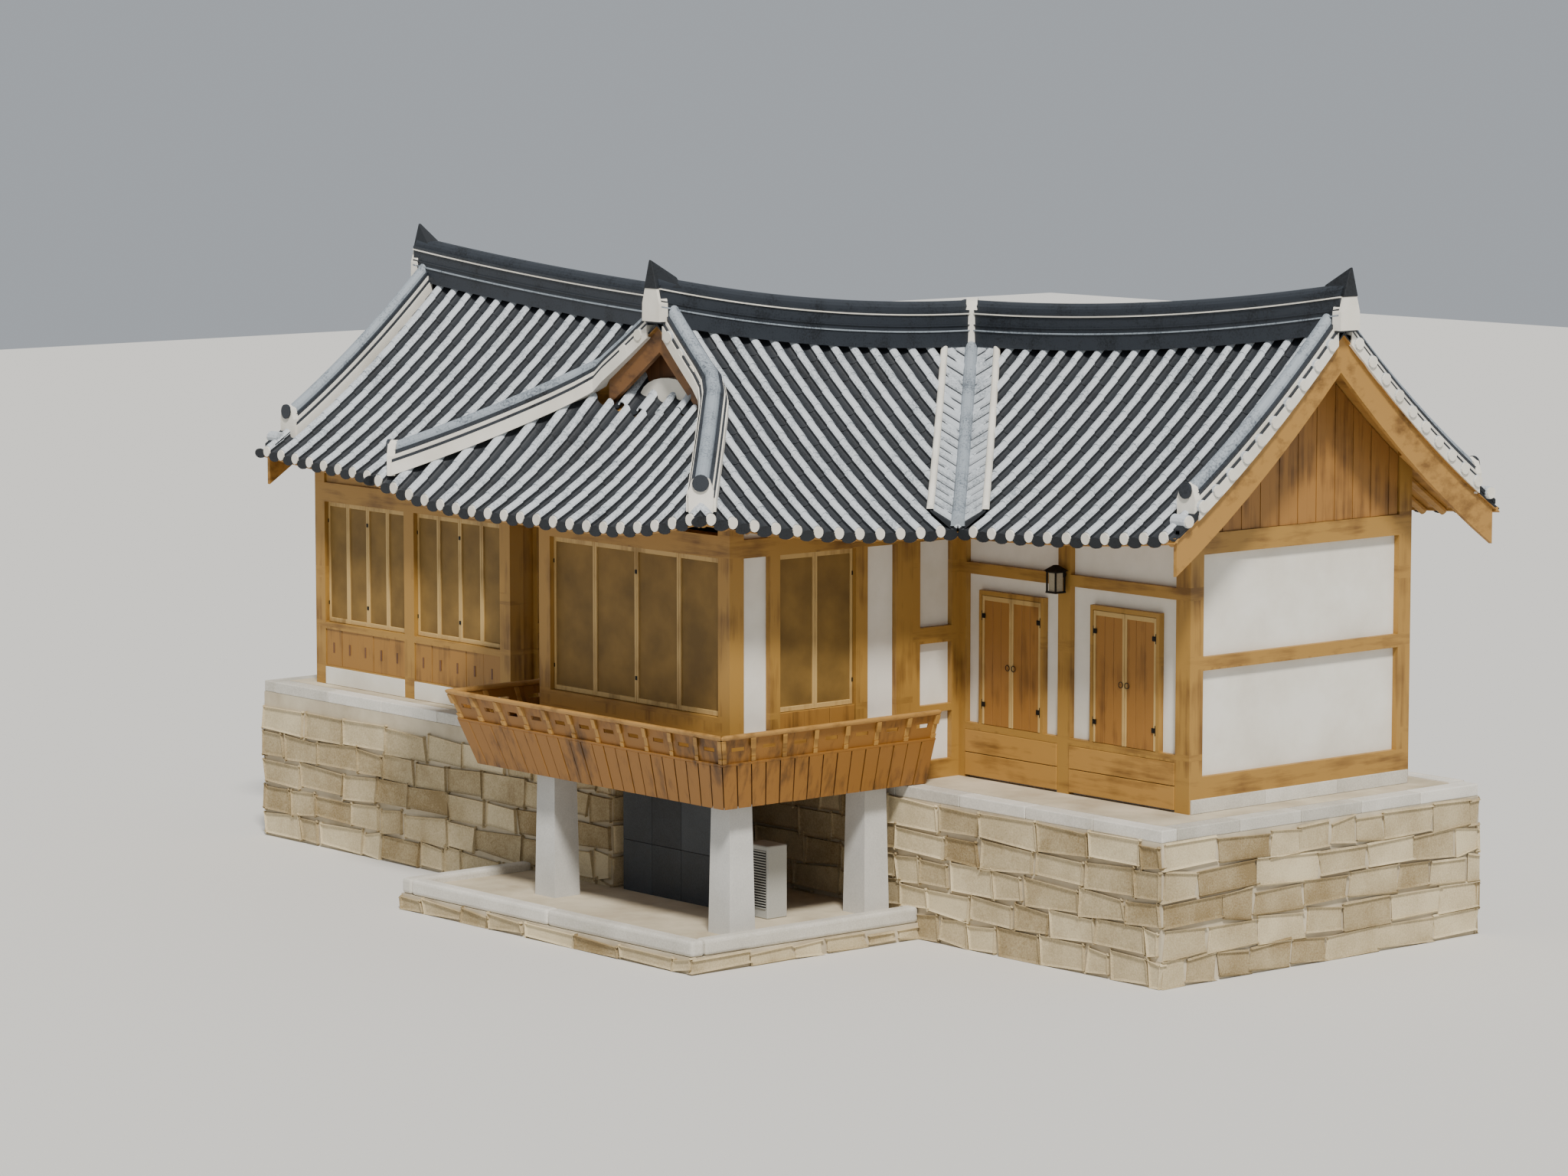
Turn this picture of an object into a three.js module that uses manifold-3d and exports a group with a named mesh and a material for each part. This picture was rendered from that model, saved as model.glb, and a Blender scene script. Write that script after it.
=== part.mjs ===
// A Korean hanok house. Three wings stand on two stone podiums: a pavilion that comes
// forward over a low platform on square pillars, an east wing with two pairs of doors,
// and a west wing with a window bay. Curved tiled roofs meet in valleys and hips.
// Millimetres, +X along the front to the right, +Y to the back, +Z up, ground at Z = 0.
// Plan sizes run from the pavilion's front right corner until the house is centred.
import * as THREE from 'three';
import Module from 'manifold-3d';
import { mergeVertices } from 'three/addons/utils/BufferGeometryUtils.js';

const wasm = await Module();
wasm.setup();

// Levels above the lowest ground
const PLATFORM_STONE = 200;
const PLATFORM_FLOOR = 300;
const PLATFORM_KERB = 400;
const EAST_PODIUM = 1870;
const WEST_PODIUM = 2140;
const BEAM_FOOT = 2100;
const DECK_FOOT = 2300;
const DECK = 2400;
const FLOOR = 2550;
const WALL_HEAD = 9000;

// Outer faces of the walls
const PAVILION_LEFT = -3700;
const PAVILION_BACK = 2930;
const EAST_FRONT = 3700;
const EAST_END = 4030;
const BACK = 7500;
const WEST_END = -10540;
const WEST_FRONT = 1850;
const WEST_BACK = 5650;
const BAY_FRONT = 1450;
const BAY_END = -6190;

// Roof lines in plan, and how far the slopes run out from them
const RIDGE_A = -1850;
const RIDGE_B = 5600;
const RIDGE_C = 3750;
const RUN = 2800;
const LEFT_RUN = 3650;
const SKIRT_RUN = 2700;
const SKIRT_RIDGE = 1450;
const VERGE_FRONT = 400;
const VERGE_EAST = 4650;
const VERGE_WEST = -11100;

// Heights of a slope: at the ridge, its fall to the eave, and how much it sags between
const RIDGE_LEVEL = 7150;
const FALL = 2520;
const SAG = 510;
const ROOF_THICK = 160;

// Timber, walls and the space left between touching pieces
const POST = 220;
const BOARD_IN = 30;
const SLAB_OUT = 80;
const SLAB_IN = 140;
const GAP = 0.3;

const finish = (color, roughness, metalness = 0) =>
  new THREE.MeshStandardMaterial({ color, roughness, metalness });
const timber = finish(0xb0733a, 0.65);
const paleTimber = finish(0xc79a63, 0.7);
const board = finish(0x6d4426, 0.75);
const plaster = finish(0xe9e4d8, 0.9);
const tile = finish(0x3a3f45, 0.55);
const paleStone = finish(0xd9d5cb, 0.85);
const fieldStone = finish(0xb5a68a, 0.95);
const slate = finish(0x2f3338, 0.6);
const lampMetal = finish(0x26282b, 0.45, 0.5);
const casing = finish(0xd4d3cd, 0.5);

const house = new THREE.Group();

// A solid for joining and cutting, from a closed geometry whose faces may point in or out
function solid(geometry) {
  const bare = geometry.clone();
  for (const name of Object.keys(bare.attributes)) {
    if (name !== 'position') bare.deleteAttribute(name);
  }
  const merged = mergeVertices(bare, 1e-3);
  const points = merged.attributes.position.array;
  const corners = Array.from(merged.index.array);
  const at = (i) => new THREE.Vector3().fromArray(points, 3 * corners[i]);
  let volume = 0;
  for (let i = 0; i < corners.length; i += 3) volume += at(i).dot(at(i + 1).cross(at(i + 2)));
  if (volume < 0) corners.reverse();
  return new wasm.Manifold(new wasm.Mesh({
    numProp: 3,
    vertProperties: new Float32Array(points),
    triVerts: new Uint32Array(corners),
  }));
}

// A box between two corners
function box(x0, x1, y0, y1, z0, z1) {
  const geometry = new THREE.BoxGeometry(x1 - x0, y1 - y0, z1 - z0);
  geometry.translate((x0 + x1) / 2, (y0 + y1) / 2, (z0 + z1) / 2);
  return solid(geometry);
}

// A plan outline stood up between two levels
function prism(outline, z0, z1) {
  const shape = new THREE.Shape(outline.map(([x, y]) => new THREE.Vector2(x, y)));
  const geometry = new THREE.ExtrudeGeometry(shape, { depth: z1 - z0, bevelEnabled: false });
  geometry.translate(0, 0, z0);
  return solid(geometry);
}

// A divided block whose points are moved by place(u, v, w), each from 0 to 1
function warp(nu, nv, nw, place) {
  const geometry = new THREE.BoxGeometry(1, 1, 1, nu, nv, nw);
  const points = geometry.attributes.position;
  for (let i = 0; i < points.count; i++) {
    const at = place(points.getX(i) + 0.5, points.getY(i) + 0.5, points.getZ(i) + 0.5);
    points.setXYZ(i, ...at);
  }
  return solid(geometry);
}

// A section of [side, up] points carried along a line of points
function sweep(line, section) {
  const n = section.length;
  const points = [];
  line.forEach((p, i) => {
    const a = line[Math.max(0, i - 1)];
    const b = line[Math.min(line.length - 1, i + 1)];
    const along = new THREE.Vector2(b[0] - a[0], b[1] - a[1]).normalize();
    for (const [side, up] of section) {
      points.push(p[0] - along.y * side, p[1] + along.x * side, p[2] + up);
    }
  });
  const corners = [];
  for (let i = 0; i < line.length - 1; i++) {
    for (let k = 0; k < n; k++) {
      const a = i * n + k;
      const b = i * n + ((k + 1) % n);
      corners.push(a, b, b + n, a, b + n, a + n);
    }
  }
  const last = (line.length - 1) * n;
  for (let k = 1; k < n - 1; k++) {
    corners.push(0, k + 1, k, last, last + k, last + k + 1);
  }
  const geometry = new THREE.BufferGeometry();
  geometry.setAttribute('position', new THREE.Float32BufferAttribute(points, 3));
  geometry.setIndex(corners);
  return solid(geometry);
}

const join = (parts) => parts.reduce((whole, part) => whole.add(part));

// Adds one named piece of the house
function piece(name, body, material) {
  const { vertProperties, triVerts } = body.getMesh();
  const geometry = new THREE.BufferGeometry();
  geometry.setAttribute('position', new THREE.BufferAttribute(new Float32Array(vertProperties), 3));
  geometry.setIndex(new THREE.BufferAttribute(new Uint32Array(triVerts), 1));
  geometry.computeVertexNormals();
  const mesh = new THREE.Mesh(geometry, material);
  mesh.name = name;
  house.add(mesh);
}

// The roofs. On every slope n runs from 0 at the ridge to 1 at the eave, and t runs along
// it from 0 at the wing's open end to 1 at the valley or hip where it meets its neighbour
const level = (n) => RIDGE_LEVEL - FALL * n + SAG * n * n;
const mix = (a, b, t) => a + (b - a) * t;
const fade = (t) => Math.max(0, 1 - t) ** 2;
const END_LIFT = 500;
const HIP_LIFT = 430;
const FOOT = (SKIRT_RIDGE - VERGE_FRONT) / SKIRT_RUN;
const SKIRT_TOP = 0.259;
const ROWS = [0, 0.13, SKIRT_TOP, FOOT, 0.54, 0.69, 0.85, 1];
const SKIRT_ROWS = [SKIRT_TOP, FOOT, FOOT + 0.0005, ...ROWS.slice(4)];
const COLUMNS = 10;
const SEAM = 0.2;
const OVERLAP = 0.3;
const pavilionLift = (n, t) => mix(END_LIFT, HIP_LIFT, Math.min(1, n / FOOT)) * fade(t);
const EAST_EAVE_LIFT = 220;
const WEST_EAVE_LIFT = 250;
const BACK_CORNER_LIFT = 230;
const BACK_CORNER_REACH = RIDGE_B - RIDGE_C;
const SKIRT_LIFT = 160;
const SKIRT_REACH = 2200;
const HIDDEN_LEFT = 750;
const HIDDEN_RIGHT = 450;
const frontEnd = (n) => Math.min(VERGE_FRONT, SKIRT_RIDGE - SKIRT_RUN * n);

// Each slope: the line it has at n, as its two ends, and the lift at n and t
const slopes = {
  roof_pavilion_right: {
    ends: (n) => [[RIDGE_A + RUN * n, frontEnd(n)], [RIDGE_A + RUN * n, RIDGE_B - RUN * n]],
    lift: pavilionLift,
  },
  roof_pavilion_left: {
    ends: (n) => [[RIDGE_A - LEFT_RUN * n, frontEnd(n)], [RIDGE_A - LEFT_RUN * n, RIDGE_C - RUN * n]],
    lift: (n, t) => {
      const short = RIDGE_C - RUN * n - frontEnd(n);
      const long = short + (RIDGE_B - RIDGE_C) * Math.max(0, 1 - n / SKIRT_TOP);
      return pavilionLift(n, (t * short) / long);
    },
  },
  roof_pavilion_skirt: {
    rows: SKIRT_ROWS,
    ends: (n) => {
      const hidden = n < FOOT + 0.0002 ? 1 : 0;
      const y = SKIRT_RIDGE - SKIRT_RUN * n;
      return [[RIDGE_A - LEFT_RUN * n + hidden * HIDDEN_LEFT, y],
        [RIDGE_A + RUN * n - hidden * HIDDEN_RIGHT, y]];
    },
    lift: (n, t) => {
      const width = (LEFT_RUN + RUN) * n;
      const near = Math.min(t, 1 - t) * width;
      return SKIRT_LIFT + (HIP_LIFT - SKIRT_LIFT) * fade(near / SKIRT_REACH);
    },
  },
  roof_east_front: {
    ends: (n) => [[VERGE_EAST, RIDGE_B - RUN * n], [RIDGE_A + RUN * n, RIDGE_B - RUN * n]],
    lift: (n, t) => mix(END_LIFT, EAST_EAVE_LIFT, n) * fade(t),
  },
  roof_east_back: {
    ends: (n) => [[VERGE_EAST, RIDGE_B + RUN * n], [RIDGE_A - RUN * n, RIDGE_B + RUN * n]],
    lift: (n, t) => {
      const length = VERGE_EAST - RIDGE_A + RUN * n;
      const corner = fade(((1 - t) * length) / BACK_CORNER_REACH);
      const end = fade(t * length / (VERGE_EAST - RIDGE_A));
      return mix(END_LIFT, EAST_EAVE_LIFT, n) * end + BACK_CORNER_LIFT * n * corner;
    },
  },
  roof_corner_back: {
    ends: (n) => [[RIDGE_A - RUN * n, RIDGE_C + RUN * n], [RIDGE_A - RUN * n, RIDGE_B + RUN * n]],
    lift: (n, t) => BACK_CORNER_LIFT * n * fade(((1 - t) * (RIDGE_B - RIDGE_C)) / BACK_CORNER_REACH),
  },
  roof_west_front: {
    ends: (n) => [[VERGE_WEST, RIDGE_C - RUN * n], [RIDGE_A - LEFT_RUN * n, RIDGE_C - RUN * n]],
    lift: (n, t) => mix(END_LIFT, WEST_EAVE_LIFT, n) * fade(t),
  },
  roof_west_back: {
    ends: (n) => [[VERGE_WEST, RIDGE_C + RUN * n], [RIDGE_A - RUN * n, RIDGE_C + RUN * n]],
    lift: (n, t) => mix(END_LIFT, WEST_EAVE_LIFT, n) * fade(t),
  },
};

// The slab of a slope from its top plus `rise` down by `thick`, drawn in at its seams
// by `seam`, or spread past them where that is negative
function slopeSlab(slope, rise, thick, seam) {
  const rows = slope.rows ?? ROWS;
  const steps = rows.length - 1;
  return warp(COLUMNS, steps, 1, (u, v, w) => {
    const n = rows[Math.round(v * steps)];
    const [a, b] = slope.ends(n);
    const length = Math.hypot(b[0] - a[0], b[1] - a[1]);
    const t = mix(seam / length, 1 - seam / length, u);
    const edge = v === 0 ? n + seam / RUN : n;
    const [[ax, ay], [bx, by]] = slope.ends(edge);
    const lift = slope.lift(n, Math.min(1, Math.max(0, t)));
    return [mix(ax, bx, t), mix(ay, by, t), level(edge) + lift + rise - (1 - w) * thick];
  });
}

for (const [name, slope] of Object.entries(slopes)) {
  piece(name, slopeSlab(slope, 0, ROOF_THICK, SEAM), tile);
}

// The space below all soffits, and a layer below the tiles' tops, for cutting to the roof
const BELOW_SOFFIT = 6500;
const BELOW_TILES = 1200;
const allSlopes = Object.values(slopes);
const underSoffit = join(allSlopes.map((slope) =>
  slopeSlab(slope, -ROOF_THICK - 2 * GAP - BELOW_SOFFIT, -BELOW_SOFFIT, -OVERLAP)));
const underTiles = join(allSlopes.map((slope) => slopeSlab(slope, GAP, BELOW_TILES, -OVERLAP)));
const underSkirt = slopeSlab(slopes.roof_pavilion_skirt, 2 * GAP, BELOW_TILES, -OVERLAP);
const trim = (body) => body.intersect(underSoffit);

// A point of a slope's top surface
function onSlope(slope, n, t) {
  const [a, b] = slope.ends(n);
  return [mix(a[0], b[0], t), mix(a[1], b[1], t), level(n) + slope.lift(n, t)];
}

// Main ridges of stacked tiles with a rounded cap, and a pointed piece on their open end
const RIDGE_HALF = 150;
const RIDGE_TOP = 470;
const RIDGE_FOOT = -120;
const RIDGE_PAST = 60;
const CAP_EDGE = RIDGE_TOP - 110;
const CAP_SHOULDER = RIDGE_TOP - 25;
const CAP_HALF = RIDGE_HALF * 0.6;
const TIP_HALF = RIDGE_HALF * 0.55;
const TIP_FOOT = RIDGE_TOP - 140;
const TIP_TOP = RIDGE_TOP + 180;
const TIP_REACH = 420;
const TIP_FALL = 60;
const RIDGE_SECTION = [
  [-RIDGE_HALF, RIDGE_FOOT], [RIDGE_HALF, RIDGE_FOOT], [RIDGE_HALF, CAP_EDGE],
  [CAP_HALF, CAP_SHOULDER], [0, RIDGE_TOP], [-CAP_HALF, CAP_SHOULDER], [-RIDGE_HALF, CAP_EDGE]];

// A ridge along a line, with its pointed piece over the line's first point
function ridgeBody(line) {
  const body = sweep(line, RIDGE_SECTION);
  const [x, y, z] = line[0];
  const [bx, by] = line[1];
  const along = new THREE.Vector2(bx - x, by - y).normalize();
  const inner = [x + along.x * TIP_REACH, y + along.y * TIP_REACH, z - TIP_FALL];
  const tip = sweep([[x, y, z], inner], [
    [-TIP_HALF, TIP_FOOT], [TIP_HALF, TIP_FOOT], [0, TIP_TOP]]);
  return body.add(tip);
}

// Verge ridges: lower rows of stacked tiles that run down beside a gable
const LOW_HALF = 130;
const LOW_TOP = 300;
const LOW_EDGE = LOW_TOP - 80;
const LOW_FLAT = LOW_HALF * 0.5;
const lowSection = (grow) => [
  [-LOW_HALF - grow, RIDGE_FOOT], [LOW_HALF + grow, RIDGE_FOOT], [LOW_HALF + grow, LOW_EDGE],
  [LOW_FLAT + grow, LOW_TOP + grow], [-LOW_FLAT - grow, LOW_TOP + grow],
  [-LOW_HALF - grow, LOW_EDGE]];
const VERGE_IN = LOW_HALF + 20;
const VERGE_STOP = 0.86;
const VERGE_STEPS = 6;
const slopeLength = (slope, n) => {
  const [a, b] = slope.ends(n);
  return Math.hypot(b[0] - a[0], b[1] - a[1]);
};

// A verge ridge over both slopes of a gable, from eave to eave across the ridge
function gableRidge(front, back, grow) {
  const line = [];
  for (let i = -VERGE_STEPS; i <= VERGE_STEPS; i++) {
    const n = (Math.abs(i) / VERGE_STEPS) * VERGE_STOP;
    const slope = i < 0 ? front : back;
    line.push(onSlope(slope, n, VERGE_IN / slopeLength(slope, n)));
  }
  return sweep(line, lowSection(grow));
}
const eastVerge = (grow) => gableRidge(slopes.roof_east_front, slopes.roof_east_back, grow);
const westVerge = (grow) => gableRidge(slopes.roof_west_front, slopes.roof_west_back, grow);

// Points along a ridge from its open end, where t runs from a little before 0
function ridgeLine(slope, stop) {
  const length = slopeLength(slope, 0);
  const line = [];
  for (let i = 0; i <= COLUMNS; i++) {
    const t = mix(-RIDGE_PAST / length, stop / length, i / COLUMNS);
    const [x, y] = onSlope(slope, 0, t);
    line.push([x, y, level(0) + slope.lift(0, Math.max(0, t))]);
  }
  return line;
}
const ridgeStop = (length) => length - RIDGE_HALF - GAP;
piece('ridge_pavilion', ridgeBody(ridgeLine(slopes.roof_pavilion_right,
  ridgeStop(RIDGE_B - VERGE_FRONT))).subtract(underTiles), tile);
piece('ridge_east', ridgeBody(ridgeLine(slopes.roof_east_front, VERGE_EAST - RIDGE_A + RIDGE_HALF))
  .subtract(underTiles).subtract(eastVerge(GAP)), tile);
piece('ridge_west', ridgeBody(ridgeLine(slopes.roof_west_front,
  ridgeStop(RIDGE_A - VERGE_WEST))).subtract(underTiles).subtract(westVerge(GAP)), tile);
piece('verge_ridge_east', eastVerge(0).subtract(underTiles), tile);
piece('verge_ridge_west', westVerge(0).subtract(underTiles), tile);

// Down the pavilion's gable and out along its hip, as one ridge
const HIP_START = 0.075;
const HIP_STOP = 0.93;
function hipLine(slope) {
  const line = [];
  for (let i = 0; i <= 4; i++) {
    const n = mix(HIP_START, FOOT, i / 4);
    line.push(onSlope(slope, n, VERGE_IN / slopeLength(slope, n)));
  }
  for (let i = 1; i <= 5; i++) line.push(onSlope(slope, mix(FOOT, HIP_STOP, i / 5), 0));
  return line;
}
piece('hip_ridge_right', sweep(hipLine(slopes.roof_pavilion_right), lowSection(0))
  .subtract(underTiles), tile);
piece('hip_ridge_left', sweep(hipLine(slopes.roof_pavilion_left), lowSection(0))
  .subtract(underTiles), tile);
const backHip = [];
for (let i = 0; i <= 7; i++) {
  backHip.push(onSlope(slopes.roof_east_back, mix(HIP_START, HIP_STOP, i / 7), 1));
}
piece('hip_ridge_back', sweep(backHip, lowSection(0)).subtract(underTiles), tile);

// Bargeboards under the verges, and the boarded gables behind them
const BARGE_THICK = 50;
const BARGE_IN = 40;
const BARGE_DEEP = 430;
const BARGE_STOP = 0.97;
const PAVILION_BARGE_DEEP = 300;
const PAVILION_BARGE_STOP = 0.27;
function bargeboard(front, back, stop, deep) {
  const rows = [...ROWS.filter((n) => n < stop), stop];
  const steps = rows.length - 1;
  return warp(2 * steps, 1, 1, (u, v, w) => {
    const n = rows[Math.abs(Math.round(2 * steps * u) - steps)];
    const slope = u < 0.5 ? front : back;
    const inward = BARGE_IN + v * BARGE_THICK;
    const [x, y, z] = onSlope(slope, n, inward / slopeLength(slope, n));
    return [x, y, z - ROOF_THICK - 3 * GAP - (1 - w) * deep];
  });
}
piece('bargeboards_east', bargeboard(slopes.roof_east_front, slopes.roof_east_back,
  BARGE_STOP, BARGE_DEEP), timber);
piece('bargeboards_west', bargeboard(slopes.roof_west_front, slopes.roof_west_back,
  BARGE_STOP, BARGE_DEEP), timber);
piece('bargeboards_pavilion', bargeboard(slopes.roof_pavilion_right, slopes.roof_pavilion_left,
  PAVILION_BARGE_STOP, PAVILION_BARGE_DEEP).subtract(underSkirt), timber);
const GABLE_Y = SKIRT_RIDGE - SKIRT_RUN * SKIRT_TOP + 2;
const GABLE_THICK = 60;
const GABLE_LEFT = -3300;
const GABLE_RIGHT = -700;
const GABLE_FOOT = 5900;
const GABLE_APEX = 7400;
piece('gable_pavilion', trim(box(GABLE_LEFT, GABLE_RIGHT, GABLE_Y, GABLE_Y + GABLE_THICK,
  GABLE_FOOT, GABLE_APEX)), board);

// Walls. A run is measured along its face, inward from it, and up
function bar(wall, u0, u1, v0, v1, z0, z1) {
  const near = wall.face + wall.inward * v0;
  const far = wall.face + wall.inward * v1;
  const low = Math.min(near, far);
  const high = Math.max(near, far);
  return wall.along === 'x' ? box(u0, u1, low, high, z0, z1) : box(low, high, u0, u1, z0, z1);
}

// Posts, beams and boards as one frame, with a slot for the plaster where it has any
function frameOf(wall) {
  const { foot, posts, beams, boards = [], slab } = wall;
  const parts = posts.map(([u0, u1]) => bar(wall, u0, u1, 0, POST, foot, WALL_HEAD));
  for (const [u0, u1, z0, z1] of beams) parts.push(bar(wall, u0, u1, 0, POST, z0, z1));
  for (const [u0, u1, z0, z1] of boards) {
    parts.push(bar(wall, u0, u1, BOARD_IN, POST - BOARD_IN, z0, z1));
  }
  let frame = trim(join(parts));
  if (slab) {
    const [u0, u1, z0, z1] = slab;
    frame = frame.subtract(bar(wall, u0 - GAP, u1 + GAP, SLAB_OUT - GAP, SLAB_IN + GAP,
      z0 - GAP, z1 + GAP));
  }
  return (wall.holes ?? []).reduce((rest, [u0, u1, z0, z1]) =>
    rest.subtract(bar(wall, u0, u1, -1, POST + 1, z0, z1)), frame);
}

// The plaster of a wall, cut through at its doors and windows
function plasterOf(wall) {
  const [u0, u1, z0, z1] = wall.slab;
  const sheet = trim(bar(wall, u0, u1, SLAB_OUT, SLAB_IN, z0, z1));
  return wall.cuts.reduce((rest, [a, b, c, d]) =>
    rest.subtract(bar(wall, a, b, 0, POST, c, d)), sheet);
}

const EAST_FOOT = EAST_PODIUM + GAP;
const WEST_FOOT = WEST_PODIUM + GAP;
const DECK_TOP = DECK + GAP;
const JAMB = 50;
const SILL = 2910;
const HEAD = 4830;
const doorX = [[410, 1460], [2380, 3460]];
const DOOR_FOOT = 2560;
const DOOR_HEAD = 4160;
const LINTEL = 60;
const SILL_BEAM = 2470;

// Each wall: its outer face, then its posts (from and to), beams, windows' and doors'
// boards, plaster, the cuts in the plaster and the holes through the whole wall
const walls = {
  pavilionFront: {
    along: 'x', face: 0, inward: 1, foot: DECK_TOP,
    posts: [[PAVILION_LEFT, PAVILION_LEFT + POST], [-POST, 0]],
    beams: [[PAVILION_LEFT, 0, DECK_TOP, SILL], [PAVILION_LEFT, 0, HEAD, 5100],
      [PAVILION_LEFT, 0, 5400, 5620]],
  },
  pavilionRight: {
    along: 'y', face: 0, inward: -1, foot: DECK_TOP,
    posts: [[0, POST], [630, 790], [2000, 2190], [2660, PAVILION_BACK - GAP]],
    beams: [[0, PAVILION_BACK - GAP, DECK_TOP, 2700], [0, PAVILION_BACK - GAP, HEAD, 5050]],
    boards: [[790, 2000, 2690, SILL]],
    slab: [POST, 2660, 2700, 5900],
    cuts: [[630, 2190, 2600, HEAD]],
    holes: [[790, 2000, SILL, HEAD]],
  },
  pavilionRecess: {
    along: 'y', face: 0, inward: -1, foot: EAST_FOOT,
    posts: [[PAVILION_BACK, 3050], [3580, EAST_FRONT + 10]],
    beams: [[PAVILION_BACK, EAST_FRONT, EAST_FOOT, 2100], [PAVILION_BACK, EAST_FRONT, 2700, 2790],
      [PAVILION_BACK, EAST_FRONT, 3560, 3760], [PAVILION_BACK, EAST_FRONT, HEAD, 5050]],
    slab: [3050, 3580, 2100, 5900],
    cuts: [],
  },
  pavilionLeft: {
    along: 'y', face: PAVILION_LEFT, inward: 1, foot: DECK_TOP,
    posts: [[0, POST], [WEST_FRONT - POST, WEST_FRONT + POST]],
    beams: [[0, WEST_FRONT, DECK_TOP, 2700], [0, WEST_FRONT, HEAD, 5050],
      [0, WEST_FRONT, SILL - 60, SILL]],
    boards: [[0, WEST_FRONT, 2690, SILL], [0, WEST_FRONT, 5040, WALL_HEAD]],
    holes: [[POST, WEST_FRONT - POST, SILL, HEAD]],
  },
  doorWall: {
    along: 'x', face: EAST_FRONT, inward: 1, foot: EAST_FOOT,
    posts: [[-POST, 120], [1770, 1980], [3790, EAST_END]],
    beams: [[-POST, EAST_END, SILL_BEAM, DOOR_FOOT - 5], [-POST, EAST_END, 4410, 4550],
      ...doorX.map(([a, b]) => [a - JAMB, b + JAMB, SILL_BEAM, DOOR_HEAD + LINTEL])],
    boards: doorX.map(([a, b]) => [a - 2 * JAMB, b + 2 * JAMB, 2000, SILL_BEAM + 10]),
    slab: [120, 3790, EAST_FOOT, 5700],
    cuts: doorX.map(([a, b]) =>
      [a - JAMB - GAP, b + JAMB + GAP, SILL_BEAM, DOOR_HEAD + LINTEL + GAP]),
    holes: doorX.map(([a, b]) => [a, b, DOOR_FOOT - 5, DOOR_HEAD + 5]),
  },
  eastGable: {
    along: 'y', face: EAST_END, inward: -1, foot: EAST_FOOT,
    posts: [[EAST_FRONT, EAST_FRONT + POST], [BACK - POST, BACK]],
    beams: [[EAST_FRONT, BACK, 2040, 2300], [EAST_FRONT, BACK, 3570, 3730],
      [EAST_FRONT, BACK, 4950, 5200]],
    slab: [EAST_FRONT + POST, BACK - POST, EAST_FOOT, 5200],
    cuts: [],
  },
  eastBack: {
    along: 'x', face: BACK, inward: -1, foot: EAST_FOOT,
    posts: [[PAVILION_LEFT, PAVILION_LEFT + POST], [-1220, -1000], [1400, 1620],
      [EAST_END - POST, EAST_END]],
    beams: [[PAVILION_LEFT, EAST_END, 2040, 2300], [PAVILION_LEFT, EAST_END, 3000, 3150],
      [PAVILION_LEFT, EAST_END, 4410, 4550]],
    slab: [PAVILION_LEFT + POST, EAST_END - POST, EAST_FOOT, 5700],
    cuts: [[-1000, 1400, 3150, 4410]],
    holes: [[-1000, 1400, 3150, 4410]],
  },
  cornerBack: {
    along: 'y', face: PAVILION_LEFT, inward: 1, foot: EAST_FOOT,
    posts: [[WEST_BACK - POST, WEST_BACK + POST], [BACK - POST, BACK]],
    beams: [[WEST_BACK, BACK, 2040, 2300], [WEST_BACK, BACK, 3000, 3150],
      [WEST_BACK, BACK, 4410, 4550]],
    boards: [[WEST_BACK, BACK, EAST_FOOT, 5700]],
  },
  bayFront: {
    along: 'x', face: BAY_FRONT, inward: 1, foot: WEST_FOOT,
    posts: [[WEST_END, WEST_END + POST], [-8510, -8290], [BAY_END - POST, BAY_END]],
    beams: [[WEST_END, BAY_END, WEST_FOOT, 2400], [WEST_END, BAY_END, 2900, 2990],
      [WEST_END, BAY_END, 4640, 4900]],
    boards: [[WEST_END, BAY_END, 2400, 2900], [WEST_END, BAY_END, 4880, 5400]],
  },
  baySide: {
    along: 'y', face: BAY_END, inward: -1, foot: WEST_FOOT,
    posts: [[BAY_FRONT, BAY_FRONT + POST], [WEST_FRONT, WEST_FRONT + POST]],
    beams: [],
    boards: [[BAY_FRONT, WEST_FRONT, WEST_FOOT, 6000]],
  },
  recess: {
    along: 'x', face: WEST_FRONT, inward: 1, foot: WEST_FOOT,
    posts: [[BAY_END - POST, BAY_END + 60], [-3920, PAVILION_LEFT - GAP]],
    beams: [[BAY_END, -3900, WEST_FOOT, 2400], [BAY_END, -3900, 3200, 3340],
      [BAY_END, -3900, 4640, 4800]],
    slab: [BAY_END + 60, -3920, 2400, 5700],
    cuts: [],
  },
  westGable: {
    along: 'y', face: WEST_END, inward: 1, foot: WEST_FOOT,
    posts: [[BAY_FRONT, BAY_FRONT + POST], [WEST_FRONT, WEST_FRONT + POST],
      [WEST_BACK - POST, WEST_BACK]],
    beams: [[BAY_FRONT, WEST_BACK, WEST_FOOT, 2400], [WEST_FRONT, WEST_BACK, 3570, 3730],
      [WEST_FRONT, WEST_BACK, 4950, 5200]],
    boards: [[BAY_FRONT, WEST_FRONT, WEST_FOOT, 6000]],
    slab: [WEST_FRONT + POST, WEST_BACK - POST, 2400, 5200],
    cuts: [],
  },
  westBack: {
    along: 'x', face: WEST_BACK, inward: -1, foot: WEST_FOOT,
    posts: [[WEST_END, WEST_END + POST], [-8400, -8180], [-6100, -5880],
      [PAVILION_LEFT - POST, PAVILION_LEFT - GAP]],
    beams: [[WEST_END, PAVILION_LEFT - GAP, WEST_FOOT, 2400],
      [WEST_END, PAVILION_LEFT - GAP, 3000, 3150], [WEST_END, PAVILION_LEFT - GAP, 4410, 4550]],
    slab: [WEST_END + POST, -3920, 2400, 5700],
    cuts: [],
  },
};
const framesOf = (names) => join(names.map((name) => frameOf(walls[name])));
piece('frame_pavilion', framesOf(['pavilionFront', 'pavilionRight', 'pavilionLeft']), timber);
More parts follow.
